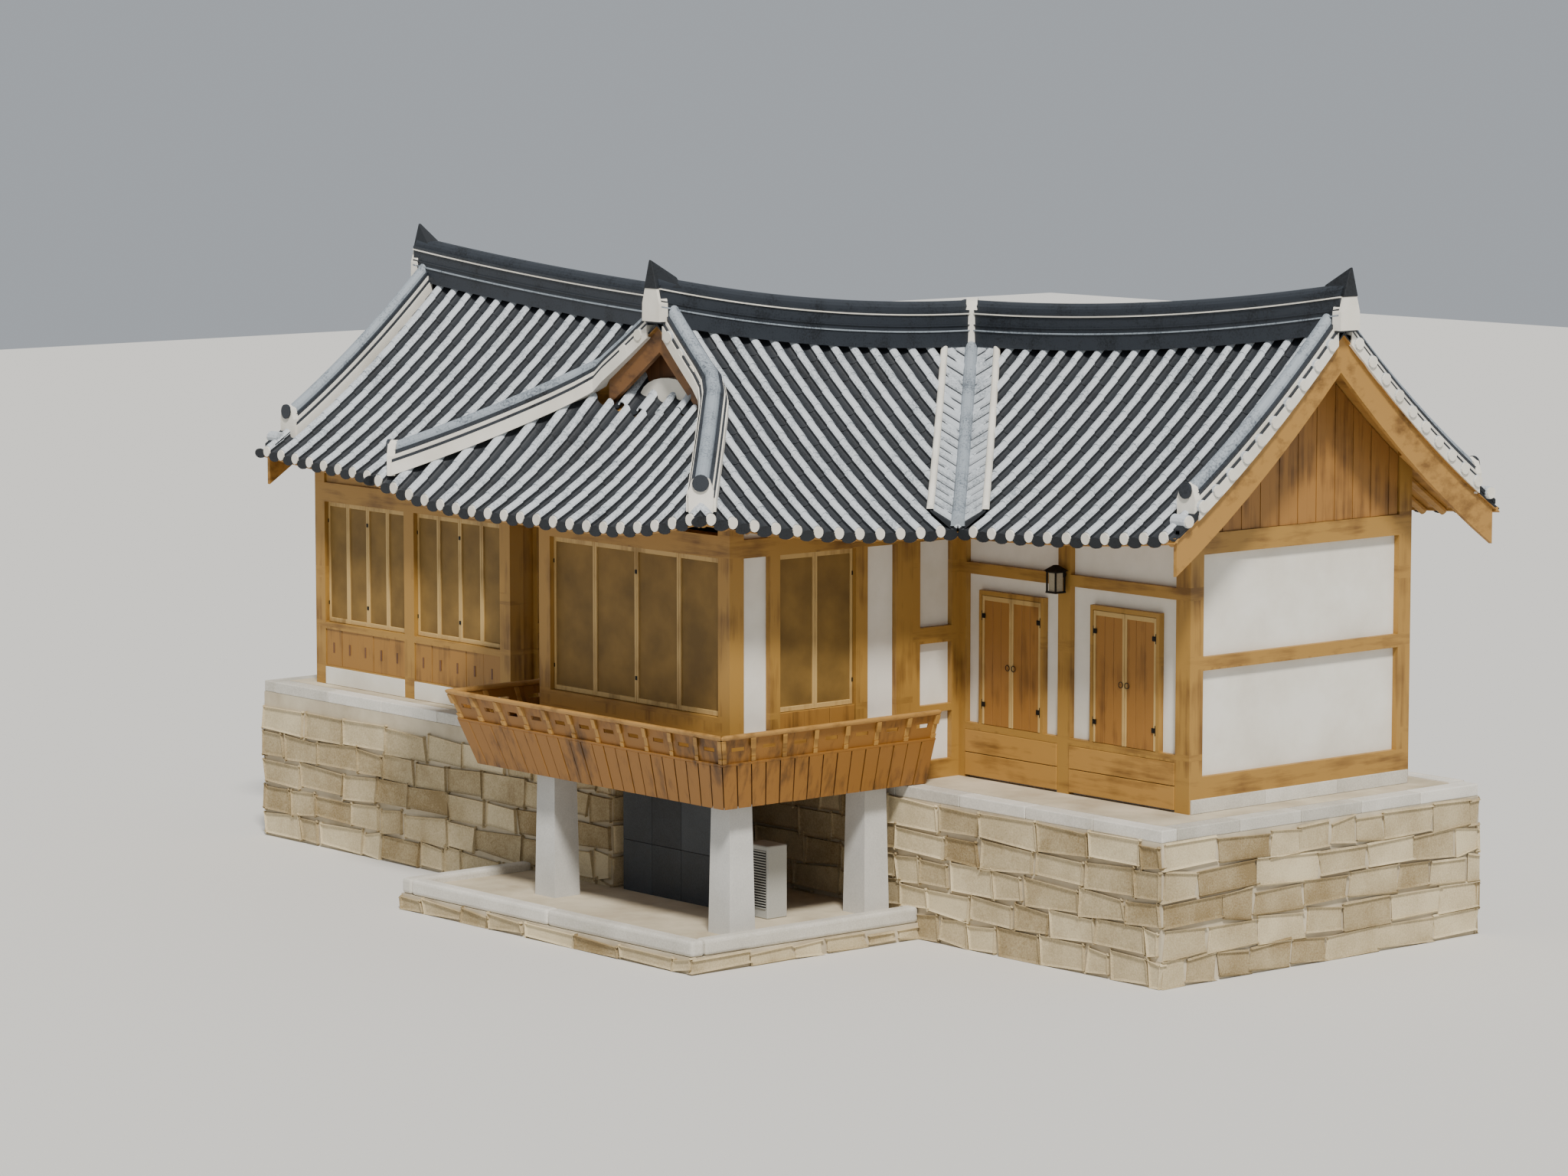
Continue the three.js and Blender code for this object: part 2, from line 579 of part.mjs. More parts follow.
piece('frame_east', framesOf(['doorWall', 'pavilionRecess', 'eastGable', 'eastBack',
  'cornerBack']), timber);
piece('frame_west', framesOf(['bayFront', 'baySide', 'recess', 'westGable', 'westBack']), timber);
for (const [name, wall] of [['plaster_pavilion_right', 'pavilionRight'],
  ['plaster_pavilion_recess', 'pavilionRecess'],
  ['plaster_east_front', 'doorWall'], ['plaster_east_gable', 'eastGable'],
  ['plaster_east_back', 'eastBack'],
  ['plaster_west_recess', 'recess'], ['plaster_west_gable', 'westGable'],
  ['plaster_west_back', 'westBack']]) {
  piece(name, plasterOf(walls[wall]), plaster);
}

// The boarded triangles over the east and west end walls
const END_GABLE_OUT = 40;
const END_GABLE_IN = 100;
for (const [name, key] of [['gable_east', 'eastGable'], ['gable_west', 'westGable']]) {
  const [u0, u1, , foot] = walls[key].slab;
  piece(name, trim(bar(walls[key], u0 + GAP, u1 - GAP, END_GABLE_OUT, END_GABLE_IN,
    foot + GAP, WALL_HEAD)), timber);
}

// Window rows: leaves that close their opening, set back from the posts' faces
const LEAF_OUT = 60;
const LEAF_IN = 100;
function windowRow(name, wall, [u0, u1, z0, z1]) {
  piece(name, bar(wall, u0 + GAP, u1 - GAP, LEAF_OUT, LEAF_IN, z0 + GAP, z1 - GAP), paleTimber);
}
windowRow('windows_pavilion_front', walls.pavilionFront,
  [PAVILION_LEFT + POST, -POST, SILL, HEAD]);
for (const [name, key] of [['window_pavilion_right', 'pavilionRight'],
  ['window_pavilion_left', 'pavilionLeft'], ['window_east_back', 'eastBack']]) {
  windowRow(name, walls[key], walls[key].holes[0]);
}
const BAY_SILL = 2990;
const BAY_HEAD = 4640;
const bayWindows = [[WEST_END + POST, -8510], [-8290, BAY_END - POST]];
bayWindows.forEach(([u0, u1], i) =>
  windowRow(`windows_bay_${i + 1}`, walls.bayFront, [u0, u1, BAY_SILL, BAY_HEAD]));

// Two pairs of doors in the east wing's front, hinged at their outer edges
const LEAF_THICK = 40;
const DOOR_PLAY = 6;
const BARREL = DOOR_PLAY - GAP;
const BARREL_TALL = 120;
const BARREL_IN = 250;
function hingeBarrel(x, z) {
  const geometry = new THREE.CylinderGeometry(BARREL, BARREL, BARREL_TALL, 12);
  geometry.rotateX(Math.PI / 2);
  geometry.translate(x, EAST_FRONT, z);
  return solid(geometry);
}
const leafNames = [['door_1_left', 'door_1_right'], ['door_2_left', 'door_2_right']];
doorX.forEach(([u0, u1], i) => {
  const middle = (u0 + u1) / 2;
  const spans = [[u0 + DOOR_PLAY, middle - DOOR_PLAY / 2], [middle + DOOR_PLAY / 2, u1 - DOOR_PLAY]];
  spans.forEach(([a, b], side) => piece(leafNames[i][side], join([
    bar(walls.doorWall, a, b, 0, LEAF_THICK, DOOR_FOOT, DOOR_HEAD),
    hingeBarrel(side ? b : a, DOOR_FOOT + BARREL_IN),
    hingeBarrel(side ? b : a, DOOR_HEAD - BARREL_IN)]), paleTimber));
});

// A lantern on the post between the doors
const LAMP_X = 1875;
const LAMP_FOOT = 4330;
const LAMP_HEAD = 4670;
const LAMP_CAP = 40;
const lampPart = (half, out0, out1, z0, z1) =>
  box(LAMP_X - half, LAMP_X + half, EAST_FRONT - out1, EAST_FRONT - out0, z0, z1);
piece('lantern', join([
  lampPart(30, GAP, 60, LAMP_FOOT + 90, LAMP_HEAD - 50),
  lampPart(80, 60, 220, LAMP_FOOT, LAMP_HEAD - 30),
  lampPart(110, 30, 250, LAMP_HEAD - LAMP_CAP, LAMP_HEAD)]), lampMetal);

// The balcony round the pavilion: boards that lean out to a handrail
const RAIL_LEFT = -4900;
const RAIL_FRONT = -600;
const RAIL_RIGHT = 550;
const RAIL_LEFT_BACK = 990;
const RAIL_RIGHT_BACK = PAVILION_BACK;
const RAIL_TOP = 2820;
const SKIRT_FOOT = 1880;
const SKIRT_LEAN = 300;
const railCorners = (d) => [[RAIL_LEFT + d, RAIL_LEFT_BACK], [RAIL_LEFT + d, RAIL_FRONT + d],
  [RAIL_RIGHT - d, RAIL_FRONT + d], [RAIL_RIGHT - d, RAIL_RIGHT_BACK]];
const leanAt = (z) => (SKIRT_LEAN * (RAIL_TOP - z)) / (RAIL_TOP - SKIRT_FOOT);

// A board that runs round the three sides, from d0 to d1 in from the leaning face
function railBoard(d0, d1, z0, z1) {
  return warp(3, 1, 1, (u, v, w) => {
    const z = mix(z0, z1, w);
    const [x, y] = railCorners(leanAt(z) + mix(d0, d1, v))[Math.round(3 * u)];
    return [x, y, z];
  });
}
const APRON_TOP = 2340;
const APRON_THICK = 50;
const BRACKET = 70;
const BRACKET_OUT = 5;
const BRACKET_IN = 75;
const BRACKET_SPACE = 480;
const RAIL_FOOT = 2750;
const RAIL_THICK = 80;
const LOW_RAIL_HEAD = 2410;
const LOW_RAIL_THICK = 90;
const PANEL_OUT = 40;
const PANEL_IN = 60;
piece('balcony_apron', railBoard(0, APRON_THICK, SKIRT_FOOT, APRON_TOP), timber);

// A bracket that stands on the bottom rail and carries the handrail, on the run from a to b
function brackets(a, b, turn) {
  const length = Math.hypot(b[0] - a[0], b[1] - a[1]);
  const count = Math.round(length / BRACKET_SPACE);
  const parts = [];
  for (let i = 1; i < count; i++) {
    const [x, y] = [mix(a[0], b[0], i / count), mix(a[1], b[1], i / count)];
    parts.push(warp(1, 1, 1, (u, v, w) => {
      const z = mix(APRON_TOP + 30, RAIL_FOOT + 20, w);
      const side = (u - 0.5) * BRACKET;
      const inward = leanAt(z) - leanAt(RAIL_FOOT) + mix(BRACKET_OUT, BRACKET_IN, v);
      return [x + turn[1] * side + turn[0] * inward, y + turn[0] * side + turn[1] * inward, z];
    }));
  }
  return join(parts);
}
const faceCorners = railCorners(leanAt(RAIL_FOOT));
piece('balcony_rail', join([
  railBoard(0, LOW_RAIL_THICK, APRON_TOP + GAP, LOW_RAIL_HEAD),
  railBoard(0, RAIL_THICK, RAIL_FOOT, RAIL_TOP),
  brackets(faceCorners[0], faceCorners[1], [1, 0]),
  brackets(faceCorners[1], faceCorners[2], [0, 1]),
  brackets(faceCorners[2], faceCorners[3], [-1, 0]),
  railBoard(PANEL_OUT, PANEL_IN, LOW_RAIL_HEAD - 10, RAIL_FOOT + 10)]), timber);

// Floors: the deck and beams over the undercroft, and the heated floor on the podiums
const EDGE_BEAM = 300;
const OUTSIDE = -200;
const deckInset = leanAt(APRON_TOP) - 20;
const deck = prism([...railCorners(deckInset), [-POST, RAIL_RIGHT_BACK],
  [PAVILION_LEFT, RAIL_RIGHT_BACK], [PAVILION_LEFT, RAIL_LEFT_BACK]], DECK_FOOT, DECK)
  .subtract(railBoard(OUTSIDE, APRON_THICK + GAP, SKIRT_FOOT, APRON_TOP + GAP))
  .subtract(railBoard(OUTSIDE, LOW_RAIL_THICK + GAP, APRON_TOP - 1, LOW_RAIL_HEAD + 5));
piece('pavilion_floor', join([deck,
  box(PAVILION_LEFT + POST + GAP, -POST - GAP, POST + GAP, PAVILION_BACK - GAP, DECK_FOOT, FLOOR),
  box(PAVILION_LEFT, PAVILION_LEFT + EDGE_BEAM, 0, PAVILION_BACK - GAP, WEST_PODIUM + GAP, DECK),
  box(-EDGE_BEAM, 0, 0, PAVILION_BACK - GAP, BEAM_FOOT, DECK),
  box(PAVILION_LEFT, 0, 0, EDGE_BEAM, BEAM_FOOT, DECK)]), timber);
const INNER = POST + 2 * GAP;
const EAST_FLOOR_LEFT = -3490;
const PASSAGE_LEFT = -3200;
piece('room_floor', join([
  box(EAST_FLOOR_LEFT, EAST_END - INNER, EAST_FRONT + INNER, BACK - INNER, EAST_FOOT, FLOOR),
  box(PASSAGE_LEFT, -INNER, PAVILION_BACK, EAST_FRONT + INNER + 1, EAST_FOOT, FLOOR),
  box(WEST_END + INNER, EAST_FLOOR_LEFT + 11, WEST_FRONT + INNER, WEST_BACK - INNER,
    WEST_FOOT, FLOOR)])
  .subtract(box(PAVILION_LEFT - GAP, 0, 0, PAVILION_BACK, 0, WALL_HEAD))
  .subtract(box(PAVILION_LEFT, PAVILION_LEFT + INNER, WEST_BACK - INNER, BACK, 0, WALL_HEAD)),
timber);

// Stonework
const KERB_WIDE = 250;
const KERB_TALL = 150;
const MIDLINE = -3500;
const CORNER_X = -3720;
const CORNER_Y = 5400;
const STEP_Y = 6250;
const EAST_FACE = 2650;
const EAST_SIDE = 4650;
const EAST_REAR = 8100;
const EAST_LEFT = -4300;
const WEST_FACE = 1000;
const WEST_SIDE = -11150;
const eastPodium = [[MIDLINE, EAST_FACE], [EAST_SIDE, EAST_FACE], [EAST_SIDE, EAST_REAR],
  [EAST_LEFT, EAST_REAR], [EAST_LEFT, STEP_Y], [CORNER_X, STEP_Y], [CORNER_X, CORNER_Y],
  [MIDLINE, CORNER_Y]];
const westPodium = [[WEST_SIDE, WEST_FACE], [MIDLINE - GAP, WEST_FACE],
  [MIDLINE - GAP, CORNER_Y - GAP], [CORNER_X - GAP, CORNER_Y - GAP],
  [CORNER_X - GAP, STEP_Y - GAP], [WEST_SIDE, STEP_Y - GAP]];

// An outline, run anticlockwise, drawn in by d on every side
function inset(outline, d) {
  const n = outline.length;
  return outline.map(([x, y], i) => {
    const [ax, ay] = outline[(i + n - 1) % n];
    const [bx, by] = outline[(i + 1) % n];
    const before = new THREE.Vector2(x - ax, y - ay).normalize();
    const after = new THREE.Vector2(bx - x, by - y).normalize();
    return [x - d * (before.y + after.y), y + d * (before.x + after.x)];
  });
}
for (const [name, outline, top] of [['east', eastPodium, EAST_PODIUM],
  ['west', westPodium, WEST_PODIUM]]) {
  piece(`podium_${name}`, prism(outline, 0, top - KERB_TALL)
    .add(prism(inset(outline, KERB_WIDE + GAP), 0, top)), fieldStone);
  piece(`kerb_${name}`, prism(outline, top - KERB_TALL + GAP, top)
    .subtract(prism(inset(outline, KERB_WIDE), 0, WALL_HEAD)), paleStone);
}
const PLATFORM_LEFT = -5350;
const PLATFORM_RIGHT = 440;
const PLATFORM_FACE = -950;
const PLATFORM_EDGE = 200;
const platformOutline = (d) => [[PLATFORM_LEFT + d, PLATFORM_FACE + d],
  [PLATFORM_RIGHT - d, PLATFORM_FACE + d], [PLATFORM_RIGHT - d, EAST_FACE - GAP],
  [MIDLINE + GAP, EAST_FACE - GAP], [MIDLINE + GAP, WEST_FACE - GAP],
  [PLATFORM_LEFT + d, WEST_FACE - GAP]];
piece('platform', prism(platformOutline(0), 0, PLATFORM_STONE)
  .add(prism(platformOutline(PLATFORM_EDGE + GAP), 0, PLATFORM_FLOOR)), fieldStone);
piece('platform_kerb', prism(platformOutline(0), PLATFORM_STONE + GAP, PLATFORM_KERB)
  .subtract(box(PLATFORM_LEFT + PLATFORM_EDGE, PLATFORM_RIGHT - PLATFORM_EDGE,
    PLATFORM_FACE + PLATFORM_EDGE, EAST_FACE, 0, WALL_HEAD)), paleStone);

// Square pillars that taper up to the floor beams
const PILLAR_FOOT = 400;
const PILLAR_HEAD = 340;
const pillars = [[-150, 150], [-3550, 150], [-150, 2300]];
pillars.forEach(([x, y], i) => piece(`pillar_${i + 1}`, warp(1, 1, 1, (u, v, w) => {
  const wide = mix(PILLAR_FOOT, PILLAR_HEAD, w);
  return [x + (u - 0.5) * wide, y + (v - 0.5) * wide,
    mix(PLATFORM_FLOOR + GAP, BEAM_FOOT - GAP, w)];
}), paleStone));

// What stands in the undercroft: a slate screen and an air conditioner's outdoor casing
const SCREEN = { left: -3300, right: -1000, front: 1010, back: 1060, top: 2240 };
const UNIT = { left: -950, right: -500, front: 1000, back: 1330, top: 1200 };
for (const [name, part, material] of [['screen', SCREEN, slate], ['outdoor_unit', UNIT, casing]]) {
  piece(name, box(part.left, part.right, part.front, part.back,
    PLATFORM_FLOOR + GAP, part.top), material);
}

// The house is centred on its own box
house.updateMatrixWorld(true);
const bounds = new THREE.Box3().setFromObject(house);
house.position.set(-(bounds.min.x + bounds.max.x) / 2, -(bounds.min.y + bounds.max.y) / 2, 0);

export default house;
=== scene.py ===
import math
import random

import bmesh
import bpy
from mathutils import Matrix, Vector


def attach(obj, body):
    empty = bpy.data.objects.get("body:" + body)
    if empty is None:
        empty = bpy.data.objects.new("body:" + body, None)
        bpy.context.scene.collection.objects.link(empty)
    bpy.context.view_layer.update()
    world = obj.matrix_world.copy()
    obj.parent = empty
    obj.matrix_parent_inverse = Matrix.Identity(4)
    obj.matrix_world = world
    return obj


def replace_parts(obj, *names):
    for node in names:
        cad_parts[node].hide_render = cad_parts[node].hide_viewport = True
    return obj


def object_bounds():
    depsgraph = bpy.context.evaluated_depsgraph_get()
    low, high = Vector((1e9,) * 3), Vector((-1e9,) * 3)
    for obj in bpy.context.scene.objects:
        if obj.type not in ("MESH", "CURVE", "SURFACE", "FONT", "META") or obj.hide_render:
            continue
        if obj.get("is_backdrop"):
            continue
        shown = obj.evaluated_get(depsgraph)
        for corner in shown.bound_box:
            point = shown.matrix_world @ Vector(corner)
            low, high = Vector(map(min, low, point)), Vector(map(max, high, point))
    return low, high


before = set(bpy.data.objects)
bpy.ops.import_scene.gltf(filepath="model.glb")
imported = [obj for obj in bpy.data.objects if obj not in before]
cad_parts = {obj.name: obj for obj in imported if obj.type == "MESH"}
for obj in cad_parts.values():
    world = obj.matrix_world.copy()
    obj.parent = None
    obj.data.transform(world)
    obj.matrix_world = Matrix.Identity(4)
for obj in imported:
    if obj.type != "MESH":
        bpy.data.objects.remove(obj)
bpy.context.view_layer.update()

# The view, the floor and the light. The house is seen from its front right, from a
# little above the eaves and far away, as from the slope across the lane. The pale
# floor, the soft sun and the even sky are a studio's, and no part of the house.
EYE = Vector((49.8, -42.5, 11.7))
AIM = Vector((0.15, -0.1, 3.95))
LENS = 118.0
FLOOR_REACH = 90.0
SUN_FROM = Vector((0.62, -0.42, 0.95))
SUN_SOFTNESS = math.radians(9)
SUN_STRENGTH = 4.2
SKY_STRENGTH = 0.5


def linear(hex_colour):
    """An sRGB colour, such as "d8c8a0", as linear red, green, blue and alpha."""
    parts = [int(hex_colour[i:i + 2], 16) / 255 for i in (0, 2, 4)]
    return [p / 12.92 if p <= 0.04045 else ((p + 0.055) / 1.055) ** 2.4 for p in parts] + [1.0]


def add_node(tree, kind, links=(), **settings):
    """One node with its settings. A link is (input, output of another node)."""
    made = tree.nodes.new(kind)
    for name, value in settings.items():
        if hasattr(made, name):
            setattr(made, name, value)
        else:
            made.inputs[name.replace("_", " ")].default_value = value
    for target, source in links:
        tree.links.new(source, made.inputs[target])
    return made


def blank(name):
    """A new material, its own empty node tree, and a point's place on its object."""
    material = bpy.data.materials.new(name)
    material.use_nodes = True
    tree = material.node_tree
    tree.nodes.clear()
    return material, tree, add_node(tree, "ShaderNodeTexCoord").outputs["Object"]


camera = bpy.data.objects.new("camera", bpy.data.cameras.new("camera"))
bpy.context.collection.objects.link(camera)
camera.location = EYE
camera.rotation_euler = (AIM - EYE).to_track_quat("-Z", "Y").to_euler()
camera.data.lens = LENS
camera.data.clip_end = 400
bpy.context.scene.camera = camera

bpy.ops.mesh.primitive_plane_add(size=2 * FLOOR_REACH)
floor = bpy.context.object
floor.name = "studio_floor"
floor_paint, tree, _ = blank("matt_white_floor")
shader = add_node(tree, "ShaderNodeBsdfPrincipled", Base_Color=linear("dcdad5"), Roughness=0.9)
add_node(tree, "ShaderNodeOutputMaterial", [("Surface", shader.outputs[0])])
floor.data.materials.append(floor_paint)
floor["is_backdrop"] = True

sun = bpy.data.objects.new("sun", bpy.data.lights.new("sun", "SUN"))
bpy.context.collection.objects.link(sun)
sun.rotation_euler = SUN_FROM.to_track_quat("Z", "Y").to_euler()
sun.data.energy = SUN_STRENGTH
sun.data.angle = SUN_SOFTNESS
sun.data.color = (1.0, 0.965, 0.91)
world = bpy.data.worlds.new("pale_sky")
bpy.context.scene.world = world
world.use_nodes = True
world.node_tree.nodes["Background"].inputs[0].default_value = linear("e6edf5")
world.node_tree.nodes["Background"].inputs[1].default_value = SKY_STRENGTH


# The tiled roofs. Each slope is laid with rows of fired clay pan tiles and, over their
# joints, round cover tiles that run straight down to the eave. The slopes sag between
# ridge and eave and rise to their open ends, as the rafters under them do.
HOUSE = Vector((3.225, -3.575, 0.0))
RIDGE_A, RIDGE_B, RIDGE_C = -1.85, 5.6, 3.75
RUN, LEFT_RUN, SKIRT_RUN, SKIRT_RIDGE = 2.8, 3.65, 2.7, 1.45
VERGE_FRONT, VERGE_EAST, VERGE_WEST = 0.4, 4.65, -11.1
FOOT = (SKIRT_RIDGE - VERGE_FRONT) / SKIRT_RUN
SKIRT_TOP = 0.259
END_LIFT, HIP_LIFT, EAST_EAVE_LIFT, WEST_EAVE_LIFT = 0.5, 0.43, 0.22, 0.25
CORNER_LIFT, CORNER_REACH = 0.23, RIDGE_B - RIDGE_C
SKIRT_LIFT, SKIRT_REACH = 0.16, 2.2
ROOF_THICK = 0.16
TILE_PITCH = 0.33
COURSE = 0.3
TILE_STEP = 0.012
TILE_THICK = 0.02
COVER_TALL = 0.09
# Across one row: how far over, how high above the pans' edge, and which tile it is
# The pan and foot parts take near-black painted shade; the cover part a lighter grey, partly painted
# sunlight
ROW_PROFILE = [
    (0.0, -0.03, "pan"), (0.12, -0.026, "pan"), (0.21, -0.014, "pan"), (0.275, 0.0, "foot"),
    (0.282, 0.012, "foot"), (0.294, 0.036, "cover"), (0.33, 0.062, "cover"), (0.39, 0.08, "cover"),
    (0.5, 0.09, "cover"), (0.61, 0.08, "cover"), (0.67, 0.062, "cover"), (0.706, 0.036, "foot"),
    (0.718, 0.012, "foot"), (0.725, 0.0, "pan"), (0.79, -0.014, "pan"), (0.88, -0.026, "pan")]


def level(n):
    """Height of a slope, from 0 at the ridge to 1 at the eave, before its ends rise."""
    return 7.15 - 2.52 * n + 0.51 * n * n


def mix(a, b, t):
    return a + (b - a) * t


def fade(t):
    return max(0.0, 1.0 - t) ** 2


def front_end(n):
    return min(VERGE_FRONT, SKIRT_RIDGE - SKIRT_RUN * n)


def pavilion_lift(n, t):
    return mix(END_LIFT, HIP_LIFT, min(1.0, n / FOOT)) * fade(t)


def right_slope(c, n):
    t = (c - front_end(n)) / (RIDGE_B - RUN * n - front_end(n))
    return Vector((RIDGE_A + RUN * n, c, level(n) + pavilion_lift(n, t)))


def left_slope(c, n):
    reach = RIDGE_C - RUN * n - front_end(n)
    reach += (RIDGE_B - RIDGE_C) * max(0.0, 1 - n / SKIRT_TOP)
    return Vector((RIDGE_A - LEFT_RUN * n, c, level(n) + pavilion_lift(n, (c - front_end(n)) / reach)))


def skirt_slope(c, n):
    near = min(c - (RIDGE_A - LEFT_RUN * n), RIDGE_A + RUN * n - c)
    lift = SKIRT_LIFT + (HIP_LIFT - SKIRT_LIFT) * fade(near / SKIRT_REACH)
    return Vector((c, SKIRT_RIDGE - SKIRT_RUN * n, level(n) + lift))


def east_front_slope(c, n):
    t = (VERGE_EAST - c) / (VERGE_EAST - RIDGE_A - RUN * n)
    return Vector((c, RIDGE_B - RUN * n, level(n) + mix(END_LIFT, EAST_EAVE_LIFT, n) * fade(t)))


def east_back_slope(c, n):
    end = fade((VERGE_EAST - c) / (VERGE_EAST - RIDGE_A))
    corner = fade((c - (RIDGE_A - RUN * n)) / CORNER_REACH)
    lift = mix(END_LIFT, EAST_EAVE_LIFT, n) * end + CORNER_LIFT * n * corner
    return Vector((c, RIDGE_B + RUN * n, level(n) + lift))


def corner_slope(c, n):
    corner = fade((RIDGE_B + RUN * n - c) / CORNER_REACH)
    return Vector((RIDGE_A - RUN * n, c, level(n) + CORNER_LIFT * n * corner))


def west_front_slope(c, n):
    t = (c - VERGE_WEST) / (RIDGE_A - LEFT_RUN * n - VERGE_WEST)
    return Vector((c, RIDGE_C - RUN * n, level(n) + mix(END_LIFT, WEST_EAVE_LIFT, n) * fade(t)))


def west_back_slope(c, n):
    t = (c - VERGE_WEST) / (RIDGE_A - RUN * n - VERGE_WEST)
    return Vector((c, RIDGE_C + RUN * n, level(n) + mix(END_LIFT, WEST_EAVE_LIFT, n) * fade(t)))


# Each slope's tile fields: from and to along the eave, from and to down the slope, and
# the hips and valleys that cut it, as two plan points with the roof on their left
RIGHT_HIP = ((RIDGE_A + RUN, SKIRT_RIDGE - SKIRT_RUN), (RIDGE_A, SKIRT_RIDGE))
LEFT_HIP = ((RIDGE_A, SKIRT_RIDGE), (RIDGE_A - LEFT_RUN, SKIRT_RIDGE - SKIRT_RUN))
EAST_VALLEY = ((RIDGE_A, RIDGE_B), (RIDGE_A + RUN, RIDGE_B - RUN))
WEST_VALLEY = ((RIDGE_A, RIDGE_C), (RIDGE_A - LEFT_RUN, RIDGE_C - RUN))
BACK_VALLEY = ((RIDGE_A, RIDGE_C), (RIDGE_A - RUN, RIDGE_C + RUN))
BACK_HIP = ((RIDGE_A, RIDGE_B), (RIDGE_A - RUN, RIDGE_B + RUN))


def flipped(line):
    return (line[1], line[0])


SLOPES = {
    "roof_pavilion_right": (right_slope, [
        (VERGE_FRONT, RIDGE_B, 0.0, 1.0, [flipped(EAST_VALLEY)]),
        (SKIRT_RIDGE - SKIRT_RUN, VERGE_FRONT, FOOT, 1.0, [flipped(RIGHT_HIP)])]),
    "roof_pavilion_left": (left_slope, [
        (VERGE_FRONT, RIDGE_C, 0.0, 1.0, [WEST_VALLEY]),
        (SKIRT_RIDGE - SKIRT_RUN, VERGE_FRONT, FOOT, 1.0, [flipped(LEFT_HIP)])]),
    "roof_pavilion_skirt": (skirt_slope, [
        (RIDGE_A - LEFT_RUN, RIDGE_A + RUN, FOOT, 1.0, [RIGHT_HIP, LEFT_HIP]),
        (-2.72, -1.28, SKIRT_TOP, FOOT, [])]),
    "roof_east_front": (east_front_slope, [(RIDGE_A, VERGE_EAST, 0.0, 1.0, [EAST_VALLEY])]),
    "roof_east_back": (east_back_slope, [
        (RIDGE_A - RUN, VERGE_EAST, 0.0, 1.0, [flipped(BACK_HIP)])]),
    "roof_corner_back": (corner_slope, [
        (RIDGE_C, RIDGE_B + RUN, 0.0, 1.0, [flipped(BACK_VALLEY), BACK_HIP])]),
    "roof_west_front": (west_front_slope, [
        (VERGE_WEST, RIDGE_A, 0.0, 1.0, [flipped(WEST_VALLEY)])]),
    "roof_west_back": (west_back_slope, [(VERGE_WEST, RIDGE_A, 0.0, 1.0, [BACK_VALLEY])]),
}


def surfaced(tree, shade, span, dark, light, rough, relief=None, tooth=0.0, depth=0.0, metal=0.0):
    """Ends a material: two colours over a span of the shade, and the relief as bumps."""
    ramp = add_node(tree, "ShaderNodeValToRGB", [("Fac", shade)])
    for end, at, colour in zip(ramp.color_ramp.elements, span, (dark, light)):
        end.position = at
        end.color = linear(colour)
    links = [("Base Color", ramp.outputs[0])]
    if relief:
        bump = add_node(tree, "ShaderNodeBump", [("Height", relief)], Strength=tooth, Distance=depth)
        links.append(("Normal", bump.outputs[0]))
    shader = add_node(tree, "ShaderNodeBsdfPrincipled", links, Roughness=rough, Metallic=metal)
    add_node(tree, "ShaderNodeOutputMaterial", [("Surface", shader.outputs[0])])


def clay(name, light, dark, rough):
    """Smoke-fired clay tile: matt, silver grey in the sun, mottled by weather and soot."""
    material, tree, spot = blank(name)
    cloud = add_node(tree, "ShaderNodeTexNoise", [("Vector", spot)],
                     Scale=2.1, Detail=6.0, Roughness=0.62)
    grain = add_node(tree, "ShaderNodeTexNoise", [("Vector", spot)],
                     Scale=38.0, Detail=3.0, Roughness=0.6)
    both = add_node(tree, "ShaderNodeMath", [(0, cloud.outputs["Fac"]), (1, grain.outputs["Fac"])],
                    operation="ADD")
    surfaced(tree, both.outputs[0], (0.72, 1.0), dark, light, rough, grain.outputs["Fac"], 0.25, 0.004)
    return material


# Cover and pan tiles are one silver-grey clay. The cover's light grey is partly painted sunlight; the pans'
# near-black and the black on the covers' feet are painted shade. The same black also colours the ridges' end
# tiles.
sunlit_cover_clay = clay("silver_grey_cover_tile_painted_sun", "c6ccd1", "868e95", 0.55)
shaded_pan_clay = clay("pan_tile_painted_shade", "24282d", "0e1013", 0.6)
black_and_shade_clay = clay("black_tile_and_painted_shade", "1d2126", "0b0d10", 0.7)
grey_clay = clay("blue_grey_line_tile", "99a2aa", "59616a", 0.6)
dark_clay = clay("dark_ridge_tile", "2b3037", "101317", 0.5)
TILE_SLOT = {"cover": 0, "pan": 1, "foot": 2}


def finished(name, bm, materials, body="house"):
    """Turns a bmesh into a named object that rides on a body, with its place in its mesh."""
    bmesh.ops.translate(bm, vec=HOUSE, verts=bm.verts)
    mesh = bpy.data.meshes.new(name)
    bm.to_mesh(mesh)
    bm.free()
    made = bpy.data.objects.new(name, mesh)
    bpy.context.collection.objects.link(made)
    for material in materials:
        mesh.materials.append(material)
    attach(made, body)
    return made


def grid_of(bm, columns, rows):
    """A flat grid's new vertices, each with its column and row number."""
    made = bmesh.ops.create_grid(bm, x_segments=columns, y_segments=rows, size=1)["verts"]
    return [(v, round((v.co.x + 1) / 2 * columns), round((v.co.y + 1) / 2 * rows)) for v in made]


def cut_off(bm, geometry, line):
    """Cuts away what lies right of a plan line, seen along it."""
    (ax, ay), (bx, by) = line
    right = Vector((by - ay, ax - bx, 0)).normalized()
    bmesh.ops.bisect_plane(bm, geom=geometry, plane_co=Vector((ax, ay, 0)), plane_no=right,
                           clear_outer=True)


def merged(bm, part):
    """Adds a finished bmesh to a larger one."""
    carrier = bpy.data.meshes.new("part")
    part.to_mesh(carrier)
    part.free()
    bm.from_mesh(carrier)
    bpy.data.meshes.remove(carrier)


def row_count(low, high):
    return max(1, round((high - low) / TILE_PITCH))


